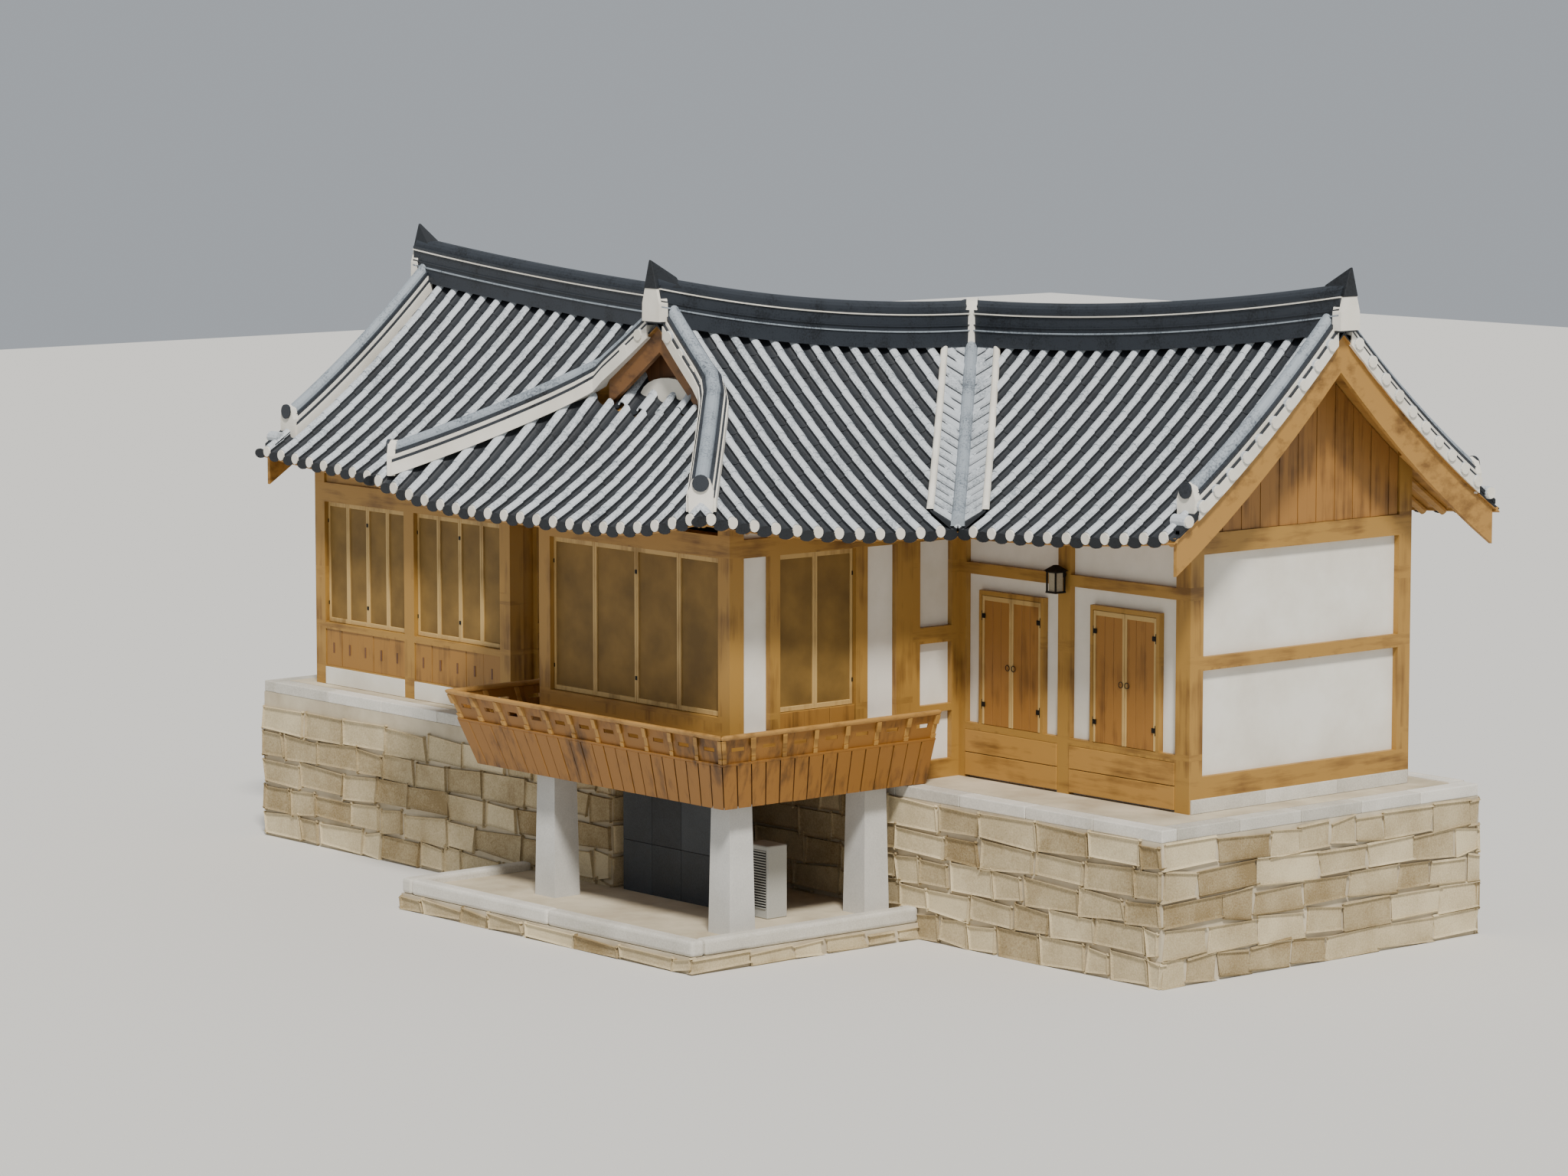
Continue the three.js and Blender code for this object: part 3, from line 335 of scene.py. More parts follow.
def lay_tiles(bm, slope, low, high, top, foot, cuts):
    """One field of tile rows: columns follow the row's section, rows step at each course."""
    field = bmesh.new()
    column_of = field.verts.layers.int.new("column")
    per_row = len(ROW_PROFILE)
    rows_across = row_count(low, high)
    courses = max(1, round((foot - top) * RUN * 1.25 / COURSE))
    pitch = (high - low) / rows_across
    for vert, i, j in grid_of(field, rows_across * per_row, 2 * courses - 1):
        across, rise, _ = ROW_PROFILE[i % per_row]
        n = mix(top, foot, ((j + 1) // 2) / courses)
        step = TILE_STEP if j % 2 else 0.0
        n += 0.0015 if j % 2 else -0.0015
        at = slope(low + (i // per_row + across) * pitch, min(foot, max(top, n)))
        vert.co = at + Vector((0, 0, rise + step - COVER_TALL))
        vert[column_of] = i
    for face in field.faces:
        column = min(v[column_of] for v in face.verts) % per_row
        face.material_index = TILE_SLOT[ROW_PROFILE[column][2]]
    for line in cuts:
        cut_off(field, field.verts[:] + field.edges[:] + field.faces[:], line)
    field.normal_update()
    if sum(f.normal.z for f in field.faces) < 0:
        bmesh.ops.reverse_faces(field, faces=field.faces)
    merged(bm, field)


for node, (slope, fields) in SLOPES.items():
    bm = bmesh.new()
    for low, high, top, foot, cuts in fields:
        lay_tiles(bm, slope, low, high, top, foot, cuts)
    tiles = finished(f"tiles_{node}", bm, [sunlit_cover_clay, shaded_pan_clay, black_and_shade_clay])
    shell = tiles.modifiers.new("tile_thickness", "SOLIDIFY")
    shell.thickness = TILE_THICK
    shell.offset = -1
    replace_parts(tiles, node)


# The boarding under the eaves and the rafters that carry it. Planed pine boards lie on
# round pine rafters a hand's breadth thick, one under each row of tiles, and a batten
# along the eave closes the space below the tiles.
BOARD_THICK = 0.015
RAFTER_RADIUS = 0.052
RAFTER_FROM, RAFTER_TO = 0.56, 0.965
BATTEN_DEEP = 0.045


def pine(name, light, dark, grain):
    """Oiled Korean pine: yellow-brown, with darker streaks along the grain."""
    material, tree, spot = blank(name)
    stretch = add_node(tree, "ShaderNodeMapping", [("Vector", spot)], Scale=grain)
    streak = add_node(tree, "ShaderNodeTexNoise", [("Vector", stretch.outputs[0])],
                      Scale=9.0, Detail=6.0, Roughness=0.65)
    cloud = add_node(tree, "ShaderNodeTexNoise", [("Vector", spot)], Scale=1.4, Detail=3.0)
    both = add_node(tree, "ShaderNodeMath", [(0, streak.outputs["Fac"]), (1, cloud.outputs["Fac"])],
                    operation="ADD")
    surfaced(tree, both.outputs[0], (0.72, 1.0), dark, light, 0.55, streak.outputs["Fac"], 0.3, 0.003)
    return material


UPRIGHT, ACROSS = (1.0, 1.0, 0.06), (0.1, 0.1, 1.0)
post_pine = pine("oiled_pine_upright", "9c7030", "674619", UPRIGHT)
beam_pine = pine("oiled_pine_lying", "b08440", "7a551f", ACROSS)
eave_pine = pine("shaded_pine_boards", "a87b3b", "6a471b", ACROSS)


def joined_into(bm, part, index=0):
    """Adds a finished bmesh to a larger one, all with one material number."""
    for face in part.faces:
        face.material_index = index
    merged(bm, part)


def eased(part, offset, segments=2):
    """Rounds off every edge of a part."""
    bmesh.ops.bevel(part, geom=part.edges[:], offset=offset, segments=segments, profile=0.5,
                    affect="EDGES", material=-1)


def block(bm, low, high, index=0, bevel=0.0):
    """A sawn block between two corners, its edges eased by a bevel."""
    part = bmesh.new()
    bmesh.ops.create_cube(part, size=1)
    low, high = Vector(low), Vector(high)
    bmesh.ops.scale(part, vec=high - low, verts=part.verts)
    if bevel:
        eased(part, bevel, 1)
    bmesh.ops.translate(part, vec=(low + high) / 2, verts=part.verts)
    joined_into(bm, part, index)


def rod(bm, start, end, radius, segments=10, index=0, squash=1.0):
    """A round rod or disc between two points."""
    part = bmesh.new()
    start, end = Vector(start), Vector(end)
    bmesh.ops.create_cone(part, cap_ends=True, segments=segments, radius1=radius, radius2=radius,
                          depth=(end - start).length)
    turn = (end - start).to_track_quat("Z", "Y").to_matrix().to_4x4()
    bmesh.ops.transform(part, matrix=turn, verts=part.verts)
    bmesh.ops.scale(part, vec=(1, 1, squash), verts=part.verts)
    bmesh.ops.translate(part, vec=(start + end) / 2, verts=part.verts)
    joined_into(bm, part, index)


def sweep(bm, path, section, index=0):
    """A closed section of (side, up) points carried along a path, with its ends filled."""
    part = bmesh.new()
    path = [Vector(p) for p in path]
    last = len(path) - 1
    for vert, i, j in grid_of(part, len(section), last):
        side, up = section[i % len(section)]
        along = path[min(j + 1, last)] - path[max(j - 1, 0)]
        across = Vector((-along.y, along.x, 0)).normalized()
        vert.co = path[j] + across * side + Vector((0, 0, up))
    bmesh.ops.remove_doubles(part, verts=part.verts, dist=1e-6)
    bmesh.ops.holes_fill(part, edges=[e for e in part.edges if e.is_boundary], sides=0)
    bmesh.ops.recalc_face_normals(part, faces=part.faces)
    joined_into(bm, part, index)


def inside(point, cuts):
    """Whether a plan point lies left of every cutting line, or a few millimetres past it."""
    return all((bx - ax) * (point.y - ay) - (by - ay) * (point.x - ax) >= -0.02
               for (ax, ay), (bx, by) in cuts)


for node, (slope, fields) in SLOPES.items():
    boards = bmesh.new()
    rafters = bmesh.new()
    for low, high, top, foot, cuts in fields:
        part = bmesh.new()
        for vert, i, j in grid_of(part, 3 * row_count(low, high), 8):
            at = slope(mix(low, high, i / (3 * row_count(low, high))), mix(top, foot, j / 8))
            vert.co = at - Vector((0, 0, ROOF_THICK))
        for line in cuts:
            cut_off(part, part.verts[:] + part.edges[:] + part.faces[:], line)
        part.normal_update()
        if sum(f.normal.z for f in part.faces) > 0:
            bmesh.ops.reverse_faces(part, faces=part.faces)
        joined_into(boards, part)
        pitch = (high - low) / row_count(low, high)
        for k in range(row_count(low, high)):
            c = low + (k + 0.5) * pitch
            under = Vector((0, 0, -ROOF_THICK - RAFTER_RADIUS))
            inner, outer = [slope(c, n) + under for n in (RAFTER_FROM, RAFTER_TO)]
            if foot < 1 or not inside(outer, cuts):
                continue
            for step in range(20):
                if inside(inner, cuts):
                    break
                inner = slope(c, mix(RAFTER_FROM, RAFTER_TO, step / 20)) + under
            rod(rafters, inner, outer, RAFTER_RADIUS, 10)
    soffit = finished(f"boards_{node}", boards, [eave_pine])
    thick = soffit.modifiers.new("board_thickness", "SOLIDIFY")
    thick.thickness = BOARD_THICK
    thick.offset = -1
    if len(rafters.faces):
        finished(f"rafters_{node}", rafters, [beam_pine])
    else:
        rafters.free()


# The eave ends. Every row of cover tiles is stopped with a plug of white lime, and every
# row of pan tiles ends in a drip tile that hangs over the eave batten, coloured near-black as painted shade.
PLUG_RADIUS, PLUG_THICK = 0.07, 0.02
DRIP_RADIUS, DRIP_THICK, DRIP_SQUASH = 0.12, 0.016, 0.55
BATTEN_HALF = 0.02


def lime(name, light, dark):
    """Trowelled lime plaster: matt off-white, faintly clouded, with a fine sandy tooth."""
    material, tree, spot = blank(name)
    cloud = add_node(tree, "ShaderNodeTexNoise", [("Vector", spot)],
                     Scale=1.1, Detail=5.0, Roughness=0.6)
    sand = add_node(tree, "ShaderNodeTexNoise", [("Vector", spot)], Scale=140.0, Detail=2.0)
    surfaced(tree, cloud.outputs["Fac"], (0.3, 0.62), dark, light, 0.88, sand.outputs["Fac"], 0.2, 0.002)
    return material


white_lime = lime("white_roof_lime", "f1ece0", "d9d3c4")
ends = bmesh.new()
battens = bmesh.new()
for node, (slope, fields) in SLOPES.items():
    for low, high, top, foot, cuts in fields:
        if foot < 1:
            continue
        count = row_count(low, high)
        pitch = (high - low) / count
        outward = slope((low + high) / 2, 1.0) - slope((low + high) / 2, 0.98)
        outward.z = 0
        outward.normalize()
        for k in range(count):
            cover = slope(low + (k + 0.5) * pitch, 1.0) - Vector((0, 0, COVER_TALL - 0.018))
            pan = slope(low + k * pitch, 1.0) - Vector((0, 0, COVER_TALL + 0.03))
            if inside(cover, cuts):
                rod(ends, cover - outward * 0.01, cover + outward * PLUG_THICK, PLUG_RADIUS, 14, 0)
            if inside(pan, cuts):
                rod(ends, pan - outward * 0.006, pan + outward * (DRIP_THICK - 0.006),
                    DRIP_RADIUS, 14, 1, squash=DRIP_SQUASH)
        line = [slope(mix(low, high, i / 40), 0.985) for i in range(41)]
        line = [p - Vector((0, 0, ROOF_THICK)) for p in line if inside(p, cuts)]
        sweep(battens, line, [(-BATTEN_HALF, -0.01), (BATTEN_HALF, -0.01),
                              (BATTEN_HALF, BATTEN_DEEP), (-BATTEN_HALF, BATTEN_DEEP)])
finished("eave_end_tiles", ends, [white_lime, black_and_shade_clay])
finished("eave_battens", battens, [beam_pine])


# The main ridges. Courses of flat tiles are bedded in lime over the ridge and show as
# dark bands with a white joint, under a row of round cap tiles. The ends turn up, are
# packed with white lime, and carry a black tile that points to the sky.
RIDGE_PAST = 0.06
RIDGE_COURSES = [
    # half width, foot, head, which finish
    (0.150, -0.12, 0.075, 0), (0.163, 0.075, 0.093, 2), (0.145, 0.093, 0.145, 0),
    (0.158, 0.145, 0.160, 0), (0.143, 0.160, 0.290, 0), (0.160, 0.290, 0.306, 1),
    (0.150, 0.306, 0.345, 0)]
CAP_HALF, CAP_FOOT, CAP_TOP = 0.115, 0.345, 0.462
TIP_OUT, TIP_IN = 0.05, 0.36
TIP_HALF, TIP_NARROW = 0.12, 0.02
TIP_FOOT, TIP_BACK, TIP_TOP = 0.3, 0.42, 0.65
PACKING = [(-0.165, -0.1), (0.165, -0.1), (0.16, 0.12), (0.1, 0.33), (-0.1, 0.33), (-0.16, 0.12)]


def ridge_path(slope, start, end, count=24):
    """Points along a slope's top line."""
    return [slope(mix(start, end, i / count), 0.0) for i in range(count + 1)]


def course(bm, path, half, foot, head, index):
    sweep(bm, path, [(-half, foot), (half, foot), (half, head), (-half, head)], index)


def cap_row(bm, path, half, foot, top, index):
    """Round cap tiles over a ridge: nine points of an arch."""
    arch = [(half * math.cos(math.pi * k / 8), foot + (top - foot) * math.sin(math.pi * k / 8))
            for k in range(9)]
    sweep(bm, path, arch, index)


def ridge_end(bm, path):
    """The lime packing and the black end tile, whose back rises outwards to a point."""
    start = path[0]
    out = start - path[2]
    out.z = 0
    out.normalize()
    across = Vector((-out.y, out.x, 0))
    sweep(bm, [start + out * 0.04, start - out * 0.03, start - out * 0.1], PACKING, 1)
    tip = bmesh.new()
    bmesh.ops.create_cube(tip, size=2)
    for vert in tip.verts:
        run = TIP_OUT if vert.co.x > 0 else -TIP_IN
        half, rise = TIP_HALF, TIP_FOOT
        if vert.co.z > 0:
            half, rise = TIP_NARROW, TIP_TOP if vert.co.x > 0 else TIP_BACK
        vert.co = start + out * run + across * (half * vert.co.y) + Vector((0, 0, rise))
    bmesh.ops.recalc_face_normals(tip, faces=tip.faces)
    eased(tip, 0.01)
    joined_into(bm, tip, 3)


MAIN_RIDGES = {
    "ridge_pavilion": ridge_path(right_slope, VERGE_FRONT - RIDGE_PAST, RIDGE_B - 0.15),
    "ridge_east": ridge_path(east_front_slope, VERGE_EAST + RIDGE_PAST, RIDGE_A - 0.15),
    "ridge_west": ridge_path(west_front_slope, VERGE_WEST - RIDGE_PAST, RIDGE_A - 0.15),
}
for node, path in MAIN_RIDGES.items():
    bm = bmesh.new()
    for half, foot, head, index in RIDGE_COURSES:
        course(bm, path, half, foot, head, index)
    cap_row(bm, path, CAP_HALF, CAP_FOOT, CAP_TOP, 0)
    ridge_end(bm, path)
    finishes = [dark_clay, white_lime, grey_clay, black_and_shade_clay]
    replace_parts(finished(f"tiled_{node}", bm, finishes), node)

# The white lime joint where the pavilion's ridge turns into the east ridge
JOINT = [(-0.26, -0.15), (0.26, -0.15), (0.24, 0.34), (0.17, 0.46), (0.0, 0.49), (-0.17, 0.46),
         (-0.24, 0.34)]
bm = bmesh.new()
middle = Vector((RIDGE_A, RIDGE_B, level(0)))
half_run = Vector((0.05, 0.05, 0))
sweep(bm, [middle - half_run, middle + half_run], JOINT)
finished("ridge_joint", bm, [white_lime])


# The verge and hip ridges. Lower stacks run down beside each gable and out along the
# hips: stepped courses, pale lime and dark tile by turns, under a grey round cap. A lump
# of lime closes the lower end, with a dark round tile set in it.
LOW_COURSES = [(0.175, -0.14, 0.02, 1), (0.16, 0.02, 0.06, 0), (0.14, 0.06, 0.11, 1),
               (0.125, 0.11, 0.165, 0)]
LOW_CAP_HALF, LOW_CAP_FOOT, LOW_CAP_TOP = 0.085, 0.165, 0.275
LUMP = [(-0.14, -0.15), (0.14, -0.15), (0.15, 0.1), (0.1, 0.24), (0, 0.29), (-0.1, 0.24),
        (-0.15, 0.1)]
END_TILE_RADIUS, END_TILE_UP = 0.1, Vector((0, 0, 0.2))
VERGE_IN = 0.15
VERGE_STOP, HIP_STOP = 0.86, 0.93


def low_ridge(bm, path):
    for half, foot, head, index in LOW_COURSES:
        course(bm, path, half, foot, head, index)
    cap_row(bm, path, LOW_CAP_HALF, LOW_CAP_FOOT, LOW_CAP_TOP, 2)
    out = (path[-1] - path[-2]).normalized()
    out.z = 0
    end = path[-1]
    sweep(bm, [end - out * 0.04, end + out * 0.07], LUMP, 1)
    rod(bm, end + out * 0.06 + END_TILE_UP, end + out * 0.1 + END_TILE_UP, END_TILE_RADIUS, 16, 0)


def verge_path(slope, c, start, count=14):
    return [slope(c, mix(start, VERGE_STOP, i / count)) for i in range(count + 1)]


def hip_path(slope, hip_at, start):
    """Down the gable from start, then along the hip, whose place at n hip_at gives."""
    down = [slope(VERGE_FRONT + VERGE_IN * (1 - i / 6 * 0.5), mix(start, FOOT, i / 6))
            for i in range(6)]
    along = [slope(hip_at(n), n) for n in [mix(FOOT + 0.02, HIP_STOP, i / 8) for i in range(9)]]
    return down + along


LOW_RIDGES = {
    "verge_ridge_east": [verge_path(east_front_slope, VERGE_EAST - VERGE_IN, 0.04),
                         verge_path(east_back_slope, VERGE_EAST - VERGE_IN, 0.04)],
    "verge_ridge_west": [verge_path(west_front_slope, VERGE_WEST + VERGE_IN, 0.04),
                         verge_path(west_back_slope, VERGE_WEST + VERGE_IN, 0.04)],
    "hip_ridge_right": [hip_path(right_slope, lambda n: SKIRT_RIDGE - SKIRT_RUN * n, 0.05)],
    "hip_ridge_left": [hip_path(left_slope, lambda n: SKIRT_RIDGE - SKIRT_RUN * n, 0.05)],
    "hip_ridge_back": [[corner_slope(RIDGE_B + RUN * n, n)
                        for n in [mix(0.06, HIP_STOP, i / 12) for i in range(13)]]],
}
for node, paths in LOW_RIDGES.items():
    bm = bmesh.new()
    for path in paths:
        low_ridge(bm, path)
    made = finished(f"tiled_{node}", bm, [dark_clay, white_lime, grey_clay])
    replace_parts(made, node)


# The verge tiles. Short cover tiles lie across each gable's edge, their white-plugged
# ends in a row over the bargeboards, above a black edge and on a black bed, both painted shade.
VERGE_TILE_PITCH = 0.3
VERGE_TILE_RADIUS, VERGE_TILE_DROP = 0.078, Vector((0, 0, 0.035))


def verge_tiles(bm, slope, c, outward, start, stop):
    """One verge's black edge and bed of painted shade, and its row of tiles with white plugs."""
    out = Vector(outward)
    line = [slope(c, mix(start, stop, i / 12)) - out * 0.03 for i in range(13)]
    # The edge and the bed under the tiles are black painted shade
    course(bm, line, 0.03, -0.15, -0.06, 2)
    course(bm, [p - out * 0.08 for p in line], 0.12, -0.1, -0.045, 2)
    count = round((stop - start) * RUN * 1.3 / VERGE_TILE_PITCH)
    for k in range(count):
        at = slope(c, mix(start, stop, (k + 0.5) / count)) - VERGE_TILE_DROP
        rod(bm, at - out * 0.2, at + out * 0.03, VERGE_TILE_RADIUS, 12, 0)
        rod(bm, at + out * 0.028, at + out * 0.05, VERGE_TILE_RADIUS * 0.9, 12, 1)


bm = bmesh.new()
for slopes, c, outward, start, stop in (
        ((east_front_slope, east_back_slope), VERGE_EAST, (1, 0, 0), 0.04, 0.97),
        ((west_front_slope, west_back_slope), VERGE_WEST, (-1, 0, 0), 0.04, 0.97),
        ((right_slope, left_slope), VERGE_FRONT, (0, -1, 0), 0.05, 0.36)):
    for slope in slopes:
        verge_tiles(bm, slope, c, outward, start, stop)
finished("verge_tiles", bm, [sunlit_cover_clay, white_lime, black_and_shade_clay])


# The valleys. Where two slopes meet, short pale tiles lie with gaps on each side of one
# smooth row of round tiles, over a black strip that paints the shade in the gaps, and a white roll of lime
# closes the cut tile rows.
VALLEYS = {
    "east": (lambda n: right_slope(RIDGE_B - RUN * n, n), 0.06),
    "west": (lambda n: left_slope(RIDGE_C - RUN * n, n), 0.08),
    "back": (lambda n: corner_slope(RIDGE_C + RUN * n, n), 0.08),
}
PIPE_HALF, PIPE_FOOT, PIPE_TOP = 0.09, -0.02, 0.11
FLANK_IN, FLANK_OUT = 0.08, 0.30
FLANK_PITCH, FLANK_SHARE = 0.21, 0.6
FLANK_RISE, FLANK_THICK = 0.62, 0.03
ROLL_AT, ROLL_HALF, ROLL_TALL = 0.335, 0.045, 0.05
for name, (point, start) in VALLEYS.items():
    bm = bmesh.new()
    path = [point(mix(start, 1.0, i / 16)) for i in range(17)]
    cap_row(bm, path, PIPE_HALF, PIPE_FOOT, PIPE_TOP, 0)
    near, far, edge = [FLANK_RISE * side for side in (FLANK_IN, FLANK_OUT, ROLL_AT)]
    for hand in (-1, 1):
        roll = [(hand * ROLL_AT + ROLL_HALF * math.cos(math.pi * k / 6),
                 edge - 0.02 + ROLL_TALL * math.sin(math.pi * k / 6)) for k in range(7)]
        sweep(bm, path, roll, 2)
        # A black strip under the flank tiles: painted shade in the gaps between them
        under = [(hand * FLANK_IN, -0.06), (hand * ROLL_AT, edge - 0.05),
                 (hand * ROLL_AT, edge - FLANK_THICK), (hand * FLANK_IN, near - FLANK_THICK)]
        sweep(bm, path, under, 3)
    count = round((path[-1] - path[0]).length / FLANK_PITCH)
    for k in range(count):
        a, b = [point(mix(start, 1.0, (k + step) / count)) for step in (0.2, 0.2 + FLANK_SHARE)]
        for hand in (-1, 1):
            tile = [(hand * FLANK_IN, near - FLANK_THICK), (hand * FLANK_OUT, far - FLANK_THICK),
                    (hand * FLANK_OUT, far), (hand * FLANK_IN, near)]
            sweep(bm, [a, b], tile, 1)
    finished(f"valley_{name}", bm, [grey_clay, sunlit_cover_clay, white_lime, black_and_shade_clay])


# The walls' timber frame. Planed pine posts stand on the stone and carry lying beams,
# tenoned and pegged, that stop under the roof boards. The grain runs up in the posts and
# along in the beams, so one finish turns its streaks at the beams' levels.
WALLS = {
    # along which axis, outer face, and which way is in
    "pavilion_front": ("x", 0.0, 1), "pavilion_right": ("y", 0.0, -1),
    "pavilion_left": ("y", -3.7, 1), "door_wall": ("x", 3.7, 1), "east_gable": ("y", 4.03, -1),
    "east_back": ("x", 7.5, -1), "bay_front": ("x", 1.45, 1), "bay_side": ("y", -6.19, -1),
    "west_gable": ("y", -10.54, 1)}
EAST_BEAMS = [(0.0, 2.3), (2.47, 2.56), (3.57, 3.73), (4.41, 4.55), (4.95, 5.2)]
WEST_BEAMS = [(0.0, 2.4), (2.9, 2.99), (3.57, 3.73), (4.64, 4.9), (4.95, 5.2)]
PAVILION_BEAMS = [(0.0, 2.7), (2.85, 2.91), (4.83, 5.1), (5.4, 5.62)]
BAND_SCALE = 10.0


def on_wall(wall, u0, u1, v0, v1, z0, z1):
    """The two corners of a block on a wall: along its face, in from it, and up."""
    along, face, inward = WALLS[wall]
    near, far = sorted((face + inward * v0, face + inward * v1))
    if along == "x":
        return (u0, near, z0), (u1, far, z1)
    return (near, u0, z0), (far, u1, z1)


def framed_pine(name, light, dark, beams):
    """Pine whose streaks run along at the beams' levels and up everywhere else."""
    material = pine(name, light, dark, UPRIGHT)
    tree = material.node_tree
    upright = next(node for node in tree.nodes if node.type == "MAPPING")
    streak = upright.outputs[0].links[0].to_node
    spot = upright.inputs[0].links[0].from_socket
    lying = add_node(tree, "ShaderNodeMapping", [("Vector", spot)], Scale=ACROSS)
    place = add_node(tree, "ShaderNodeSeparateXYZ", [(0, spot)])
    share = add_node(tree, "ShaderNodeMath", [(0, place.outputs["Z"])], operation="DIVIDE")
    share.inputs[1].default_value = BAND_SCALE
    bands = add_node(tree, "ShaderNodeValToRGB", [("Fac", share.outputs[0])])
    bands.color_ramp.interpolation = "CONSTANT"
    bands.color_ramp.elements[0].color = linear("000000")
    bands.color_ramp.elements[1].color = linear("000000")
    for low, high in beams:
        bands.color_ramp.elements.new(low / BAND_SCALE).color = linear("ffffff")
        bands.color_ramp.elements.new(high / BAND_SCALE).color = linear("000000")
    turned = add_node(tree, "ShaderNodeMix", data_type="VECTOR")
    tree.links.new(bands.outputs[0], turned.inputs[0])
    tree.links.new(upright.outputs[0], turned.inputs[4])
    tree.links.new(lying.outputs[0], turned.inputs[5])
    tree.links.new(turned.outputs[1], streak.inputs["Vector"])
    return material


def dress(material, *nodes):
    """Gives CAD nodes that keep their shape their real finish."""
    for node in nodes:
        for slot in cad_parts[node].material_slots:
            slot.material = material


for wing, beams in (("east", EAST_BEAMS), ("west", WEST_BEAMS), ("pavilion", PAVILION_BEAMS)):
    dress(framed_pine(f"frame_pine_{wing}", "a57d39", "74511f", beams), f"frame_{wing}")


# The plastered walls. Between the posts the walls are woven lath and earth under a white
# lime coat, trowelled flat and set back from the timber.
wall_lime = lime("white_wall_lime", "ece8dd", "dcd6c7")
dress(wall_lime, "plaster_east_back", "plaster_east_front", "plaster_east_gable",
      "plaster_pavilion_recess", "plaster_pavilion_right", "plaster_west_back",
      "plaster_west_gable", "plaster_west_recess")


# The floors. The balcony deck and the rooms have wide pine boards on joists, worn pale
# where people walk.
floor_pine = pine("worn_floor_boards", "b98a55", "8f6332", (0.12, 1.0, 1.0))
dress(floor_pine, "pavilion_floor", "room_floor")


# The gables. Upright pine boards close each end under the roof, lapped so that every
# joint throws a thin shadow. The pavilion's small gable is stained dark, and a low hump
# of lime keeps rain from its foot.
GABLE_BOARD = 0.16
BOARD_GAP = 0.007
# Dark stained pine: the pavilion gable's own stain, and painted shade in the air slots and behind the
# apron's joints
stained_and_shade_pine = pine("dark_stained_and_painted_shade_boards", "6b4526", "3c2412", UPRIGHT)
shaded_upright = pine("gable_pine_upright", "9d6f33", "6c481c", UPRIGHT)


def gable_boards(bm, wall, first, last, foot, top_at):
    """Boards side by side on a gable, each cut to the slope that top_at gives."""
    count = round((last - first) / GABLE_BOARD)
    for k in range(count):
        u0 = mix(first, last, k / count)
        u1 = mix(first, last, (k + 1) / count) - BOARD_GAP
        part = bmesh.new()
        block(part, *on_wall(wall, u0, u1, 0.022 + 0.006 * (k % 2), 0.042, foot, foot + 1))
        for vert in part.verts:
            if vert.co.z > foot + 0.5:
                u = vert.co.x if WALLS[wall][0] == "x" else vert.co.y
                vert.co.z = max(foot + 0.01, top_at(u))
        joined_into(bm, part)


def end_gable_top(front, back, ridge, c):
    """Height of the roof boards over a point of an end gable."""
    def top_at(u):
        slope = front if u < ridge else back
        return slope(c, abs(u - ridge) / RUN).z - ROOF_THICK - BOARD_THICK - 0.004
    return top_at


bm = bmesh.new()
gable_boards(bm, "east_gable", 3.93, 7.27, 5.205,
             end_gable_top(east_front_slope, east_back_slope, RIDGE_B, 4.0))
finished("gable_boards_east", bm, [shaded_upright])
bm = bmesh.new()
gable_boards(bm, "west_gable", 2.08, 5.42, 5.205,
             end_gable_top(west_front_slope, west_back_slope, RIDGE_C, -10.5))
finished("gable_boards_west", bm, [shaded_upright])
dress(shaded_upright, "gable_east", "gable_west")
dress(stained_and_shade_pine, "gable_pavilion")
barge_pine = pine("bargeboard_pine", "aa7f3d", "76521f", (0.5, 0.5, 0.9))
dress(barge_pine, "bargeboards_east", "bargeboards_west")
dress(pine("dark_bargeboard_pine", "7a5228", "452a12", (0.5, 0.5, 0.9)), "bargeboards_pavilion")

HUMP_AT = (RIDGE_A - 0.05, 0.735, 6.58)
HUMP_HALF, HUMP_THICK, HUMP_SQUASH = 0.55, 0.12, 0.5
bm = bmesh.new()
rod(bm, HUMP_AT, Vector(HUMP_AT) - Vector((0, HUMP_THICK, 0)), HUMP_HALF, 24, 0, HUMP_SQUASH)
finished("gable_hump_lime", bm, [white_lime])


# The window leaves. Each is a thin light pine frame round one dark panel of brown screen
# cloth, hung on small iron hinges.
STILE, RAIL = 0.035, 0.06
LEAF_OUT, LEAF_THICK = 0.06, 0.04
leaf_pine = pine("leaf_frame_pine", "c0a064", "94753f", UPRIGHT)
screen_brown, tree, spot = blank("brown_screen_cloth")
cloud = add_node(tree, "ShaderNodeTexNoise", [("Vector", spot)], Scale=2.2, Detail=4.0)
# Threads a millimetre apart are too fine to see, so the weave is drawn at 12 mm
weave = add_node(tree, "ShaderNodeTexChecker", [("Vector", spot)], Scale=80.0)
surfaced(tree, cloud.outputs["Fac"], (0.3, 0.7), "6a501f", "88692f", 0.7,
         weave.outputs["Fac"], 0.2, 0.002)
black_iron, tree, spot = blank("wrought_iron")
scale = add_node(tree, "ShaderNodeTexNoise", [("Vector", spot)], Scale=60.0, Detail=4.0)
surfaced(tree, scale.outputs["Fac"], (0.0, 1.0), "17181a", "34332f", 0.5, metal=0.8)


def leaf_frame(bm, wall, u0, u1, z0, z1, rails, out=LEAF_OUT, thick=LEAF_THICK):
    """Two stiles of one leaf, and rails that stand on the given heights."""
    bars = [(u0, u0 + STILE, z0, z1), (u1 - STILE, u1, z0, z1)]
    bars += [(u0 + STILE, u1 - STILE, low, low + RAIL) for low in rails]
    for a, b, low, high in bars:
        block(bm, *on_wall(wall, a, b, out, out + thick, low, high), 0, 0.005)


